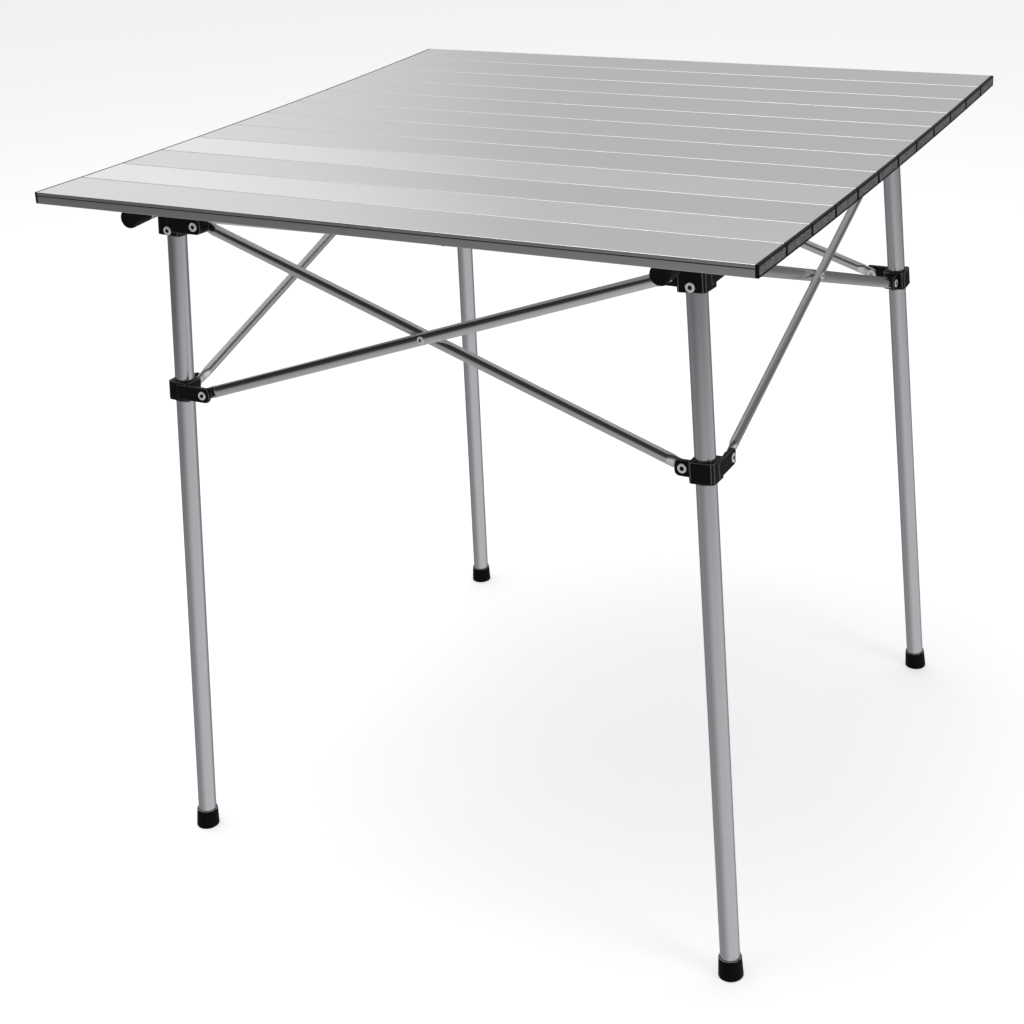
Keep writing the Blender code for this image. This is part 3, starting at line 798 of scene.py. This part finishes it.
@dataclass
class RollTop(Assembly):
    """The slats, their end caps and the pads that seat the end slats."""

    count: int = 12
    front_depth: float = 0.0610
    rear_depth: float = 0.0540
    seam: float = 0.0008
    wall: float = 0.0012
    lip: float = 0.0030
    groove_height: float = 0.0009
    groove_depth: float = 0.0007
    edge_round: float = 0.0006
    cap_length: float = 0.0026
    cap_plug: float = 0.0120
    cap_round: float = 0.0006
    cap_frame: float = 0.0009
    panel_step: float = 0.00025
    panel_sink: float = 0.0003
    pad_width: float = 0.0150
    pad_depth: float = 0.0120
    pad_grip: float = 0.0050
    pad_round: float = 0.0008
    # The slats that take the lighter copy of the satin finish, a painted sheen
    bright_slats: tuple[int, ...] = (2, 4)
    plug_radius: float = 0.0090

    def seams(self) -> list[float]:
        """The Y of each slat's front edge, and of the last one's rear edge."""
        middle = (LAYOUT.depth - self.front_depth - self.rear_depth) / (self.count - 2)
        places = [-LAYOUT.depth / 2]
        for depth in (self.front_depth, *[middle] * (self.count - 2), self.rear_depth):
            places.append(places[-1] + depth)
        return places

    def body_of(self, number: int) -> str:
        """The body a slat belongs to."""
        return "top_base" if number == self.count else f"top_slat_{number:02d}"

    def slat(self, depth: float) -> Object:
        """A hollow extruded slat about the origin, its surface at zero height.

        Args:
            depth: Its pitch from front to rear.

        Returns:
            The slat, with a grooved lip along both edges.
        """
        half_length = LAYOUT.width / 2 - self.cap_length - LAYOUT.gap
        outer = depth / 2 - self.seam / 2
        inner = outer - self.groove_depth
        low, high = (-half_length, -inner, -LAYOUT.slat_thick), (half_length, inner, 0)
        work = Workpiece.block("slat_pattern", low, high)
        groove_low = -self.lip - self.groove_height
        for height in (-self.lip, groove_low):
            work.slice((0, 0, height), (0, 0, 1))
        for way in (-1, 1):
            work.faces(
                lambda middle, normal, way=way: normal.y * way > FACING
                and not groove_low < middle.z < -self.lip
            ).extrude(y=way * self.groove_depth)
        work.merge_flat()
        bottom = outer - self.groove_depth / 2
        work.faces(lambda middle, normal: abs(middle.y) < bottom and abs(normal.y) > FACING).paint(RECESS)
        work.edges(
            lambda a, b: abs(a.x - b.x) > half_length and min(abs(a.y), abs(b.y)) > outer - NEAR
            and (min(a.z, b.z) > -NEAR or max(a.z, b.z) < NEAR - LAYOUT.slat_thick)
        ).bevel(self.edge_round, segments=3, finish=TRIM)
        work.faces(lambda middle, normal: abs(normal.x) > FACING).hollow(self.wall)
        return work.finished(smooth=40)

    def cap(self, depth: float) -> Object:
        """A moulded end cap for the +X end of a slat, its plug inside the slat's mouth.

        Args:
            depth: The slat's pitch.

        Returns:
            The cap, with a sunk grained panel on its outer face.
        """
        end = LAYOUT.width / 2
        outer = depth / 2 - self.seam / 2
        low, high = (end - self.cap_length, -outer, -LAYOUT.slat_thick), (end, outer, 0)
        work = Workpiece.block("cap_pattern", low, high)
        work.sharp(60, lambda a, b: max(a.x, b.x) > end - NEAR).bevel(self.cap_round, segments=2)
        work.faces(lambda middle, normal: normal.x > FACING).inset(self.cap_frame)
        work.inset(self.panel_step, self.panel_sink).paint(RECESS)
        mouth = self.wall + self.groove_depth + LAYOUT.gap
        work.faces(lambda middle, normal: normal.x < -FACING).inset(mouth).extrude(x=-self.cap_plug)
        return work.finished(smooth=40)

    def pad(self) -> Object:
        """A pad under an end slat that sits astride a rail's plug."""
        surface = LAYOUT.surface(-LAYOUT.depth / 2 + self.front_depth)
        high = surface - LAYOUT.slat_thick + self.wall / 2
        low = LAYOUT.rail_height + self.plug_radius - self.pad_grip
        half_x, half_y = self.pad_width / 2, self.pad_depth / 2
        work = Workpiece.block("pad_pattern", (-half_x, -half_y, low), (half_x, half_y, high))
        # The rounded edges take the second finish, a pale painted edge highlight
        work.sharp(least=60).bevel(self.pad_round, segments=2, finish=TRIM).close()
        reach = self.pad_depth
        groove = Workpiece.rod("pad_groove", self.plug_radius + LAYOUT.gap, -reach, reach)
        groove.move(Matrix.Translation((0, 0, LAYOUT.rail_height)) @ OUTWARDS)
        return work.combine(groove, "DIFFERENCE").finished()

    def place(self, front: float, rear: float) -> Matrix:
        """Where a slat lies between two seams."""
        low, high = LAYOUT.surface(front), LAYOUT.surface(rear)
        turn = Matrix.Rotation(math.atan2(high - low, rear - front), 4, "X")
        return Matrix.Translation((0, (front + rear) / 2, (low + high) / 2)) @ turn

    def build(self) -> None:
        """Builds and dresses the whole top."""
        seams = self.seams()
        spans = list(zip(seams, seams[1:]))
        patterns = {}
        for front, rear in spans:
            depth = round(rear - front, 5)
            if depth not in patterns:
                patterns[depth] = (self.slat(depth), self.cap(depth))
        for number, (front, rear) in enumerate(spans, start=1):
            slat, cap = patterns[round(rear - front, 5)]
            place, body = self.place(front, rear), self.body_of(number)
            plank = copy_of(slat, f"plank_{number:02d}", place)
            # Some slats take the lighter copy of the satin finish, a painted sheen
            skin = "slat_bright" if number in self.bright_slats else "slat"
            coat = (skin, "slat_edge", "slat_groove")
            self.hand_over(plank, body, Slot.SLAT, coat, (f"slat_{number:02d}",))
            for end, turn in (("right", Matrix()), ("left", Matrix.Rotation(math.pi, 4, "Z"))):
                stands_for = () if number == self.count else (f"slat_cap_{end}_{number:02d}",)
                made = copy_of(cap, f"end_cap_{end}_{number:02d}", place @ turn)
                coat = ("plastic", "plastic_edge", "cap_panel")
                self.hand_over(made, body, Slot.PLASTIC, coat, stands_for)
        for slat, cap in patterns.values():
            drop(slat)
            drop(cap)
        self.build_pads(spans)

    def build_pads(self, spans: list[tuple[float, float]]) -> None:
        """Builds the four pads under the first and the last slat."""
        pattern = self.pad()
        for where, (front, rear), number in (("front", spans[0], 1), ("rear", spans[-1], self.count)):
            for hand, side in ((-1, "left"), (1, "right")):
                place = Matrix.Translation((hand * LAYOUT.rail_spacing / 2, (front + rear) / 2, 0))
                made = copy_of(pattern, f"seat_pad_{where}_{side}", place)
                self.hand_over(made, self.body_of(number), Slot.PLASTIC, ("plastic", "plastic_edge"))
        drop(pattern)


@dataclass
class Rails(Assembly):
    """The two rails under the top and their round-nosed plugs."""

    wall: float = 0.0012
    end_inset: float = 0.0190
    plug_length: float = 0.0240
    stub_length: float = 0.0100
    nose_rim: float = 0.0016
    dish_step: float = 0.0006
    dish_sink: float = 0.0005
    stations: Pairs = (
        (0.0030, 0.0083), (0.0090, 0.0085), (0.0150, 0.0088), (0.0205, 0.0090), (0.0224, 0.0090),
        (0.0234, 0.0086), (0.0239, 0.0079),
    )

    def tube(self, seat: float) -> Object:
        """A hollow rail along Z between its two plugs' seats."""
        work = Workpiece.rod("rail_pattern", LAYOUT.rail_radius, -seat, seat, sides=40)
        work.faces(lambda middle, normal: abs(normal.z) > FACING).hollow(self.wall)
        return work.finished()

    def plug(self) -> Object:
        """A plug along Z: a stub inside the tube, a collar, and a swelling round nose with a dished end."""
        size, height = LAYOUT.rail_radius - self.wall - LAYOUT.gap, 0.0
        collar = LAYOUT.rail_radius + LAYOUT.gap
        work = Workpiece.rod("plug_pattern", size, -self.stub_length, 0, sides=40)
        work.faces(lambda middle, normal: normal.z > FACING)
        work.extrude().resize((collar / size, collar / size, 1), (0, 0, 0))
        size = collar
        for station, radius in self.stations:
            work.extrude(z=station - height).resize((radius / size, radius / size, 1), (0, 0, station))
            size, height = radius, station
        work.inset(self.nose_rim).inset(self.dish_step, self.dish_sink)
        return work.finished(smooth=50)

    def build(self) -> None:
        """Builds and dresses both rails."""
        end = LAYOUT.depth / 2 - self.end_inset
        seat = end - self.plug_length
        tube, plug = self.tube(seat), self.plug()
        for hand, name in ((-1, "left"), (1, "right")):
            place = Matrix.Translation((hand * LAYOUT.rail_spacing / 2, 0, LAYOUT.rail_height)) @ OUTWARDS
            made = copy_of(tube, f"under_rail_{name}", place)
            self.hand_over(made, "top_base", Slot.POLISHED, ("brace",), (f"rail_{name}",))
            for way, turn in (("front", Matrix()), ("rear", Matrix.Rotation(math.pi, 4, "X"))):
                spot = place @ turn @ Matrix.Translation((0, 0, seat))
                nose = copy_of(plug, f"rail_plug_{name}_{way}", spot)
                self.hand_over(nose, "top_base", Slot.PLASTIC, ("plastic",))
        drop(tube)
        drop(plug)


@dataclass
class Legs(Assembly):
    """The leg tubes, the feet and the rivets that hold the brackets."""

    radius: float = 0.0092
    wall: float = 0.0010
    foot_height: float = 0.0195
    foot_floor: float = 0.0040
    foot_top: float = 0.0108
    foot_base: float = 0.0118
    rim_round: float = 0.0003
    sole_round: float = 0.0018
    rivet_height: float = 0.6500
    top_skin: float = 0.0028
    rivet_root: float = 0.0080

    def tube(self) -> Object:
        """A hollow leg tube up Z, from inside the foot to inside the bracket."""
        low = self.foot_floor + LAYOUT.gap
        high = LAYOUT.up_leg(LAYOUT.bracket_top) - self.top_skin
        work = Workpiece.rod("leg_pattern", self.radius, low, high, sides=48)
        work.faces(lambda middle, normal: abs(normal.z) > FACING).hollow(self.wall)
        work.move(LAYOUT.leg_frame(0))
        return work.finished()

    def foot(self) -> Object:
        """A flared cup with a rounded rim and sole, cut level where it stands."""
        low, high = -2 * self.foot_base * LAYOUT.leg_slope, self.foot_height
        work = Workpiece.rod("foot_pattern", self.foot_base, low, high, sides=48, top=self.foot_top)
        work.faces(lambda middle, normal: normal.z > FACING).inset(self.foot_top - self.radius - LAYOUT.gap)
        work.extrude(z=self.foot_floor - self.foot_height)
        rim = self.foot_height - NEAR
        # The top annulus takes the second finish, a pale ring painted as a highlight
        work.faces(lambda middle, normal: normal.z > FACING and middle.z > rim).paint(TRIM)
        work.sharp(50, lambda a, b: min(a.z, b.z) > rim).bevel(self.rim_round, segments=3, finish=MAIN)
        work.sharp(50, lambda a, b: max(a.z, b.z) < low + NEAR).bevel(self.sole_round, segments=4)
        down = LAYOUT.leg_frame(0).to_3x3().transposed() @ Vector((0, 0, -1))
        work.slice((0, 0, 0), down, trim=True)
        work.move(LAYOUT.leg_frame(0))
        return work.finished(smooth=40)

    def build(self) -> None:
        """Builds and dresses the four legs."""
        tube, foot = self.tube(), self.foot()
        reach = LAYOUT.bracket_half + LAYOUT.gap + LAYOUT.ear_proud
        rivet = Rivet().stud("leg_rivet_pattern", self.rivet_root, reach)
        rivet.data.transform(OUTWARDS)
        for corner in Corner:
            turn, body = round_the_table(corner.value), f"leg_{corner.code}"
            pipe = copy_of(tube, f"leg_pipe_{corner.code}", turn)
            self.hand_over(pipe, body, Slot.LEG, ("leg",), (f"leg_tube_{corner.code}",))
            cup = copy_of(foot, f"foot_cup_{corner.code}", turn)
            self.hand_over(cup, body, Slot.FOOT, ("foot", "foot_rim"), (f"foot_{corner.code}",))
            up = Matrix.Translation((0, 0, LAYOUT.up_leg(self.rivet_height)))
            quarter = round_the_table(-(corner.value % 2))
            pin = copy_of(rivet, f"leg_rivet_{corner.code}", LAYOUT.leg_frame(corner.value) @ up @ quarter)
            self.hand_over(pin, body, Slot.POLISHED, ("rivet", "rivet_bore"))
        for pattern in (tube, foot, rivet):
            drop(pattern)


@dataclass
class Rivet:
    """The hollow rivets: a shank with a rolled ring at each end."""

    shank: float = 0.0024
    head: float = 0.0042
    head_height: float = 0.0009
    bore: float = 0.0019
    bore_depth: float = 0.0012
    ring_round: float = 0.0004

    def in_bore(self, middle: Vector, height: float, way: int) -> bool:
        """Whether a face's middle lies within the bore of the ring at a height."""
        rise = (middle.z - height) * way
        is_deep = self.head_height - self.bore_depth - NEAR < rise < self.head_height - NEAR
        return is_deep and middle.xy.length < self.bore + NEAR

    def ring(self, work: Workpiece, way: int, height: float) -> None:
        """Rolls a ring on one end of a shank.

        Args:
            work: The shank.
            way: 1 for its top end, -1 for its bottom end.
            height: Where the ring's underside lies.
        """
        work.faces(lambda middle, normal: normal.z * way > FACING and abs(middle.z - height) < NEAR)
        grow = self.head / self.shank
        work.extrude().resize((grow, grow, 1), (0, 0, height))
        work.extrude(z=way * self.head_height)
        work.inset(self.head - self.bore).extrude(z=-way * self.bore_depth)
        work.faces(lambda middle, normal: self.in_bore(middle, height, way)).paint(TRIM)
        face = height + way * self.head_height
        work.sharp(50, lambda a, b: max(abs(a.z - face), abs(b.z - face)) < NEAR)
        work.bevel(self.ring_round, segments=3)

    def eyelet(self, name: str, low: float, high: float) -> Object:
        """A rivet along Z with a ring beyond each of two heights."""
        work = Workpiece.rod(name, self.shank, low, high, sides=24)
        self.ring(work, 1, high)
        self.ring(work, -1, low)
        return work.finished(smooth=50)

    def stud(self, name: str, low: float, high: float) -> Object:
        """A rivet's one end along Z, its shank sunk in what it holds."""
        work = Workpiece.rod(name, self.shank, low, high, sides=24)
        self.ring(work, 1, high)
        return work.finished(smooth=50)


@dataclass
class Mouldings(Assembly):
    """The corner brackets and the sliders, each a block with two ears."""

    bracket_bottom: float = 0.6450
    top_ease: float = 0.0002
    socket_roof: float = 0.0025
    slider_half: float = 0.0117
    slider_height: float = 0.0190
    leg_bore: float = 0.0095
    bore_spare: float = 0.0030
    chamfer: float = 0.0022
    edge_round: float = 0.0006
    ear_radius: float = 0.0075
    ear_corner: float = 0.0050
    collar_radius: float = 0.0108
    collar_height: float = 0.0010
    collar_round: float = 0.0004

    def block(self, name: str, half: float, low: float, high: float) -> Workpiece:
        """A square block about the first leg, its upright edges chamfered and every edge eased."""
        work = Workpiece.block(name, (-half, -half, low), (half, half, high))
        work.edges(lambda a, b: abs(a.z - b.z) > NEAR).bevel(self.chamfer, segments=1)
        # The eased edges take the second finish, a pale painted edge highlight
        return work.sharp(least=25).bevel(self.edge_round, segments=2, finish=TRIM).close()

    def ear(self, side: int, is_left: bool, height: float, face: float, thick: float) -> Workpiece:
        """A plate with round corners that stands out of a block to hold an arm's end.

        Args:
            side: The side of the table it lies along.
            is_left: True for the ear of the side's left leg.
            height: Its rivet's height.
            face: How far its inner face stands out of the side's plane.
            thick: Its thickness.

        Returns:
            The ear in the table's frame.
        """
        root = -LAYOUT.left_pivot_offset if is_left else LAYOUT.right_pivot_offset
        tip = self.ear_radius if is_left else -self.ear_radius
        low, high = sorted((root, tip))
        work = Workpiece.block("ear", (low, -thick, -self.ear_radius), (high, 0, self.ear_radius))
        work.edges(lambda a, b: abs(a.y - b.y) > NEAR and abs(a.x - tip) < NEAR)
        work.bevel(self.ear_corner, segments=6)
        # The ear's rounded edges take the second finish, a pale painted edge highlight
        work.sharp(60, lambda a, b: max(a.y, b.y) < NEAR - thick or min(a.y, b.y) > -NEAR)
        work.bevel(self.edge_round, segments=2, finish=TRIM)
        spot = Matrix.Translation(LAYOUT.pivot(height, is_left, face))
        return work.move(LAYOUT.side_frame(side) @ spot)

    def bracket(self) -> Object:
        """The first corner's bracket: a long flush ear on one side and a recessed one on the other."""
        low, high = LAYOUT.up_leg(self.bracket_bottom), LAYOUT.up_leg(LAYOUT.bracket_top)
        thick = LAYOUT.bracket_half + LAYOUT.ear_proud - LAYOUT.inner_ear_face
        outer = (LAYOUT.outer_ear_face, LAYOUT.bracket_outer_ear)
        work = self.block("bracket_pattern", LAYOUT.bracket_half, low, high - self.top_ease)
        work.move(LAYOUT.leg_frame(0))
        work.combine(self.ear(0, True, LAYOUT.top_pivot, LAYOUT.inner_ear_face, thick), "UNION")
        work.combine(self.ear(3, False, LAYOUT.top_pivot, *outer), "UNION")
        low, high = low - self.bore_spare, high - self.socket_roof
        socket = Workpiece.rod("socket", self.leg_bore, low, high, sides=48)
        work.combine(socket.move(LAYOUT.leg_frame(0)), "DIFFERENCE")
        return work.finished()

    def slider(self) -> Object:
        """The first corner's slider: a collared block with a proud ear and a tucked one."""
        middle = LAYOUT.up_leg(LAYOUT.slider_pivot)
        low, high = middle - self.slider_height / 2, middle + self.slider_height / 2
        outer = (LAYOUT.outer_ear_face, LAYOUT.slider_outer_ear)
        inner = (LAYOUT.inner_ear_face, LAYOUT.inner_ear_thick)
        rise, spare = self.collar_height, self.bore_spare
        work = self.block("slider_pattern", self.slider_half, low, high).move(LAYOUT.leg_frame(0))
        collar = Workpiece.rod("collar", self.collar_radius, low - rise, high + rise, sides=48)
        # The collar's rounded edges take the second finish, a pale painted edge highlight
        collar.sharp(least=50).bevel(self.collar_round, segments=2, finish=TRIM)
        work.combine(collar.move(LAYOUT.leg_frame(0)), "UNION")
        work.combine(self.ear(0, True, LAYOUT.slider_pivot, *outer), "UNION")
        work.combine(self.ear(3, False, LAYOUT.slider_pivot, *inner), "UNION")
        bore = Workpiece.rod("bore", self.leg_bore, low - spare, high + spare, sides=48)
        work.combine(bore.move(LAYOUT.leg_frame(0)), "DIFFERENCE")
        return work.finished()

    def build(self) -> None:
        """Builds and dresses the brackets and sliders."""
        bracket, slider = self.bracket(), self.slider()
        coat = ("plastic", "plastic_edge")
        for corner in Corner:
            turn, code = round_the_table(corner.value), corner.code
            block = copy_of(bracket, f"corner_block_{code}", turn)
            self.hand_over(block, f"leg_{code}", Slot.PLASTIC, coat, (f"corner_bracket_{code}",))
            shoe = copy_of(slider, f"slide_block_{code}", turn)
            self.hand_over(shoe, f"slider_{code}_body", Slot.PLASTIC, coat, (f"slider_{code}",))
        drop(bracket)
        drop(slider)


@dataclass
class Braces(Assembly):
    """The eight arms that cross in pairs, and the rivets at their ends and crossings."""

    width: float = 0.0115
    thick: float = 0.0070
    sides: int = 40
    flatten_start: float = 0.0170
    tongue_thick: float = 0.0030
    tongue_radius: float = 0.0055
    tongue_steps: int = 6
    tip_blunt: float = 0.6
    press_spread: float = 1.03
    press_stations: Pairs = ((0.0150, 0.92), (0.0125, 0.70), (0.0100, 0.50), (0.0082, 0.4286))
    crossing_head: float = 0.0032
    crossing_bore: float = 0.0016
    crossing_root: float = 0.0015
    crossing_gap: float = 0.00005

    @property
    def length(self) -> float:
        """From rivet to rivet."""
        return LAYOUT.arm_run.length

    @property
    def crossing(self) -> float:
        """From an arm's top rivet to where the two arms cross."""
        offsets = LAYOUT.left_pivot_offset + LAYOUT.right_pivot_offset
        return (LAYOUT.leg_reach(LAYOUT.top_pivot) - offsets / 2) / math.cos(LAYOUT.arm_slope)

    def press_end(self, work: Workpiece, origin: float, way: int) -> None:
        """Presses one end of an arm flat and rounds its tongue.

        Args:
            work: The arm's oval tube.
            origin: The X of that end's rivet.
            way: -1 where the end points along -X, 1 along X.
        """
        flat_face = origin - way * self.flatten_start
        work.faces(lambda middle, normal: normal.x * way > FACING and abs(middle.x - flat_face) < NEAR)
        here, thin, wide = self.flatten_start, 1.0, 1.0
        tongue = 2 * self.tongue_radius / self.width
        for station, share in self.press_stations:
            broad = tongue if station == self.press_stations[-1][0] else self.press_spread
            work.extrude(x=way * (here - station))
            work.resize((1, share / thin, broad / wide), (origin - way * station, 0, 0))
            here, thin, wide = station, share, broad
        for step in range(self.tongue_steps + 1):
            angle = QUARTER * step / (self.tongue_steps + self.tip_blunt)
            station = -self.tongue_radius * math.sin(angle)
            broad = tongue * math.cos(angle)
            work.extrude(x=way * (here - station))
            work.resize((1, 1, broad / wide), (origin - way * station, 0, 0))
            here, wide = station, broad

    def arm(self) -> Object:
        """An oval arm from its top rivet at the origin along X, pressed flat at both ends."""
        start, end = self.flatten_start, self.length - self.flatten_start
        work = Workpiece.rod("arm_pattern", self.width / 2, start, end, self.sides)
        work.move(Matrix.Rotation(QUARTER, 4, "Y"))
        work.faces(lambda middle, normal: True).resize((1, self.thick / self.width, 1), (0, 0, 0))
        self.press_end(work, 0.0, -1)
        self.press_end(work, self.length, 1)
        return work.finished(smooth=50)

    def rivet_span(self, layer: Layer, at_top: bool) -> tuple[float, float]:
        """How far an end rivet reaches each way from its arm's middle plane: inwards, then outwards."""
        faces = {
            (Layer.INNER, True): LAYOUT.bracket_half + LAYOUT.ear_proud,
            (Layer.INNER, False): LAYOUT.inner_ear_face + LAYOUT.inner_ear_thick,
            (Layer.OUTER, True): LAYOUT.outer_ear_face + LAYOUT.bracket_outer_ear,
            (Layer.OUTER, False): LAYOUT.outer_ear_face + LAYOUT.slider_outer_ear,
        }
        return self.tongue_thick / 2, faces[layer, at_top] + LAYOUT.gap - LAYOUT.arm_depth(layer)

    def pins(self, layer: Layer) -> dict[str, Object]:
        """An arm's three rivets in its own frame, by where they sit."""
        made = {}
        for where, at_top in (("top", True), ("low", False)):
            inwards, outwards = self.rivet_span(layer, at_top)
            made[where] = Rivet().eyelet("pin", -inwards, outwards)
            x = 0 if at_top else self.length
            made[where].data.transform(Matrix.Translation((x, 0, 0)) @ OUTWARDS)
        small = Rivet(head=self.crossing_head, bore=self.crossing_bore)
        made["cross"] = small.stud("stud", self.crossing_root, self.thick / 2 + self.crossing_gap)
        turn = OUTWARDS if layer is Layer.OUTER else OUTWARDS.inverted()
        made["cross"].data.transform(Matrix.Translation((self.crossing, 0, 0)) @ turn)
        return made

    def build(self) -> None:
        """Builds and dresses the arms and their rivets."""
        arm = self.arm()
        for layer in Layer:
            pins = self.pins(layer)
            for side in Side:
                label = f"{side.code}_{layer.value}"
                body, place = f"{label}_brace", LAYOUT.arm_frame(side.value, layer)
                made = copy_of(arm, f"brace_arm_{label}", place)
                self.hand_over(made, body, Slot.POLISHED, ("brace",), (f"brace_{label}",))
                for where, pin in pins.items():
                    rivet = copy_of(pin, f"{where}_rivet_{label}", place)
                    self.hand_over(rivet, body, Slot.POLISHED, ("rivet", "rivet_bore"))
            for pin in pins.values():
                drop(pin)
        drop(arm)


# ================================================================ studio
@dataclass
class Studio:
    """The plain pale floor, the soft light and the camera."""

    floor_size: float = 30.0
    floor_grey: float = 0.9
    floor_rough: float = 0.9
    floor_specular: float = 0.1
    floor_glow: float = 0.55
    camera_place: Number3 = (0.79305, -1.50633, 1.09377)
    camera_right: Number3 = (0.89206, 0.44944, -0.04731)
    camera_up: Number3 = (-0.11982, 0.33615, 0.93415)
    lens: float = 61.7
    shift: tuple[float, float] = (-0.0506, -0.1427)
    patch_way: Number3 = (-0.66, 0.72, 0.22)
    patch_glow: float = 0.45
    far_way: Number3 = (-0.46, 0.89, 0.0)
    front_ramp: Pairs = (
        (0.0, 0.66), (0.2, 0.62), (0.33, 0.58), (0.40, 0.22), (0.48, 0.06), (0.8, 0.04), (0.93, 0.35),
        (1.0, 0.7),
    )
    back_ramp: Pairs = (
        (0.0, 0.6), (0.2, 0.3), (0.37, 0.16), (0.5, 0.12), (0.56, 0.34), (0.6, 0.56), (0.7, 0.62), (1.0, 0.9),
    )
    lamps: tuple[tuple[str, Number3, float, float], ...] = (
        ("lamp_above", (-0.6, -0.4, 3.2), 2.2, 38.0),
        ("lamp_right", (2.6, -0.6, 1.6), 1.0, 12.0),
    )

    def floor(self) -> None:
        """A plain pale floor."""
        work = Workpiece("floor", bpy.ops.mesh.primitive_plane_add, size=self.floor_size)
        floor = work.piece
        floor.visible_glossy = False
        made, _, shader = empty_material("floor_pale")
        shader.inputs["Base Color"].default_value = opaque(grey(self.floor_grey))
        shader.inputs["Roughness"].default_value = self.floor_rough
        shader.inputs["Specular IOR Level"].default_value = self.floor_specular
        shader.inputs["Emission Color"].default_value = opaque(grey(1.0))
        shader.inputs["Emission Strength"].default_value = self.floor_glow
        dress(floor, (made,))

    def ramp(self, w: Wiring, value: Socket, steps: Pairs) -> Socket:
        """Brightness by height, from steps of (position, brightness)."""
        made = w.node("ShaderNodeValToRGB")
        while len(made.color_ramp.elements) < len(steps):
            made.color_ramp.elements.new(0.5)
        for element, (position, level) in zip(made.color_ramp.elements, steps):
            element.position = position
            element.color = opaque(grey(level))
        w.feed(made.inputs["Fac"], value)
        return made.outputs["Color"]

    def toward(self, w: Wiring, way: Socket, aim: Number3) -> Socket:
        """How nearly a direction points along another."""
        made = w.node("ShaderNodeVectorMath", operation="DOT_PRODUCT")
        w.feed(made.inputs[0], way)
        made.inputs[1].default_value = aim
        return made.outputs["Value"]

    def surroundings(self) -> None:
        """A white backdrop that lights like a room: pale below and behind, dark ahead and above."""
        world = bpy.data.worlds.new("studio")
        bpy.context.scene.world = world
        world.use_nodes = True
        w = Wiring(world.node_tree)
        way = w.node("ShaderNodeTexCoord").outputs["Generated"]
        split = w.node("ShaderNodeSeparateXYZ")
        w.feed(split.inputs[0], way)
        height = w.spread(split.outputs["Z"], -1.0, 1.0, 0.0, 1.0)
        front, back = self.ramp(w, height, self.front_ramp), self.ramp(w, height, self.back_ramp)
        side = w.spread(split.outputs["X"], -0.5, 0.4, 0.5, 1.0)
        front = w.mix(1.0, front, side, "MULTIPLY")
        share = w.spread(self.toward(w, way, self.far_way), 0.15, 0.6, 0.0, 1.0)
        room = w.mix(share, front, back)
        patch = w.spread(self.toward(w, way, self.patch_way), 0.972, 0.999, 0.0, self.patch_glow)
        room = w.mix(1.0, room, patch, "ADD")
        seen = w.node("ShaderNodeLightPath").outputs["Is Camera Ray"]
        background = world.node_tree.nodes["Background"]
        w.feed(background.inputs["Color"], w.mix(seen, room, opaque(grey(1.0))))
        background.inputs["Strength"].default_value = 1.0

    def lamp(self, name: str, place: Number3, size: float, power: float) -> None:
        """A square soft lamp that faces the table's middle."""
        data = bpy.data.lights.new(name, "AREA")
        data.size = size
        data.energy = power
        lamp = bpy.data.objects.new(name, data)
        bpy.context.scene.collection.objects.link(lamp)
        away = Vector(place) - Vector((0, 0, LAYOUT.height / 2))
        lamp.matrix_world = Matrix.Translation(place) @ away.to_track_quat("Z", "Y").to_matrix().to_4x4()

    def camera(self) -> None:
        """The camera at its view."""
        data = bpy.data.cameras.new("camera")
        data.lens = self.lens
        data.shift_x, data.shift_y = self.shift
        camera = bpy.data.objects.new("camera", data)
        bpy.context.scene.collection.objects.link(camera)
        right, up = Vector(self.camera_right).normalized(), Vector(self.camera_up)
        back = right.cross(up).normalized()
        up = back.cross(right)
        turn = Matrix((right, up, back)).transposed().to_4x4()
        camera.matrix_world = Matrix.Translation(self.camera_place) @ turn
        bpy.context.scene.camera = camera

    def build(self) -> None:
        """Sets up the studio."""
        self.floor()
        self.surroundings()
        for lamp in self.lamps:
            self.lamp(*lamp)
        self.camera()
        bpy.context.scene.view_settings.view_transform = "Standard"


def main() -> None:
    """Builds the table's looks and the studio round it."""
    logging.basicConfig(level=logging.INFO, format="%(name)s: %(message)s")
    finishes = FinishShelf().built()
    for kind in (RollTop, Rails, Legs, Mouldings, Braces):
        assembly = kind(finishes)
        assembly.build()
        LOG.info("%s: %d pieces", type(assembly).__name__, len(assembly.made))
    Studio().build()


if __name__ == "__main__":
    main()
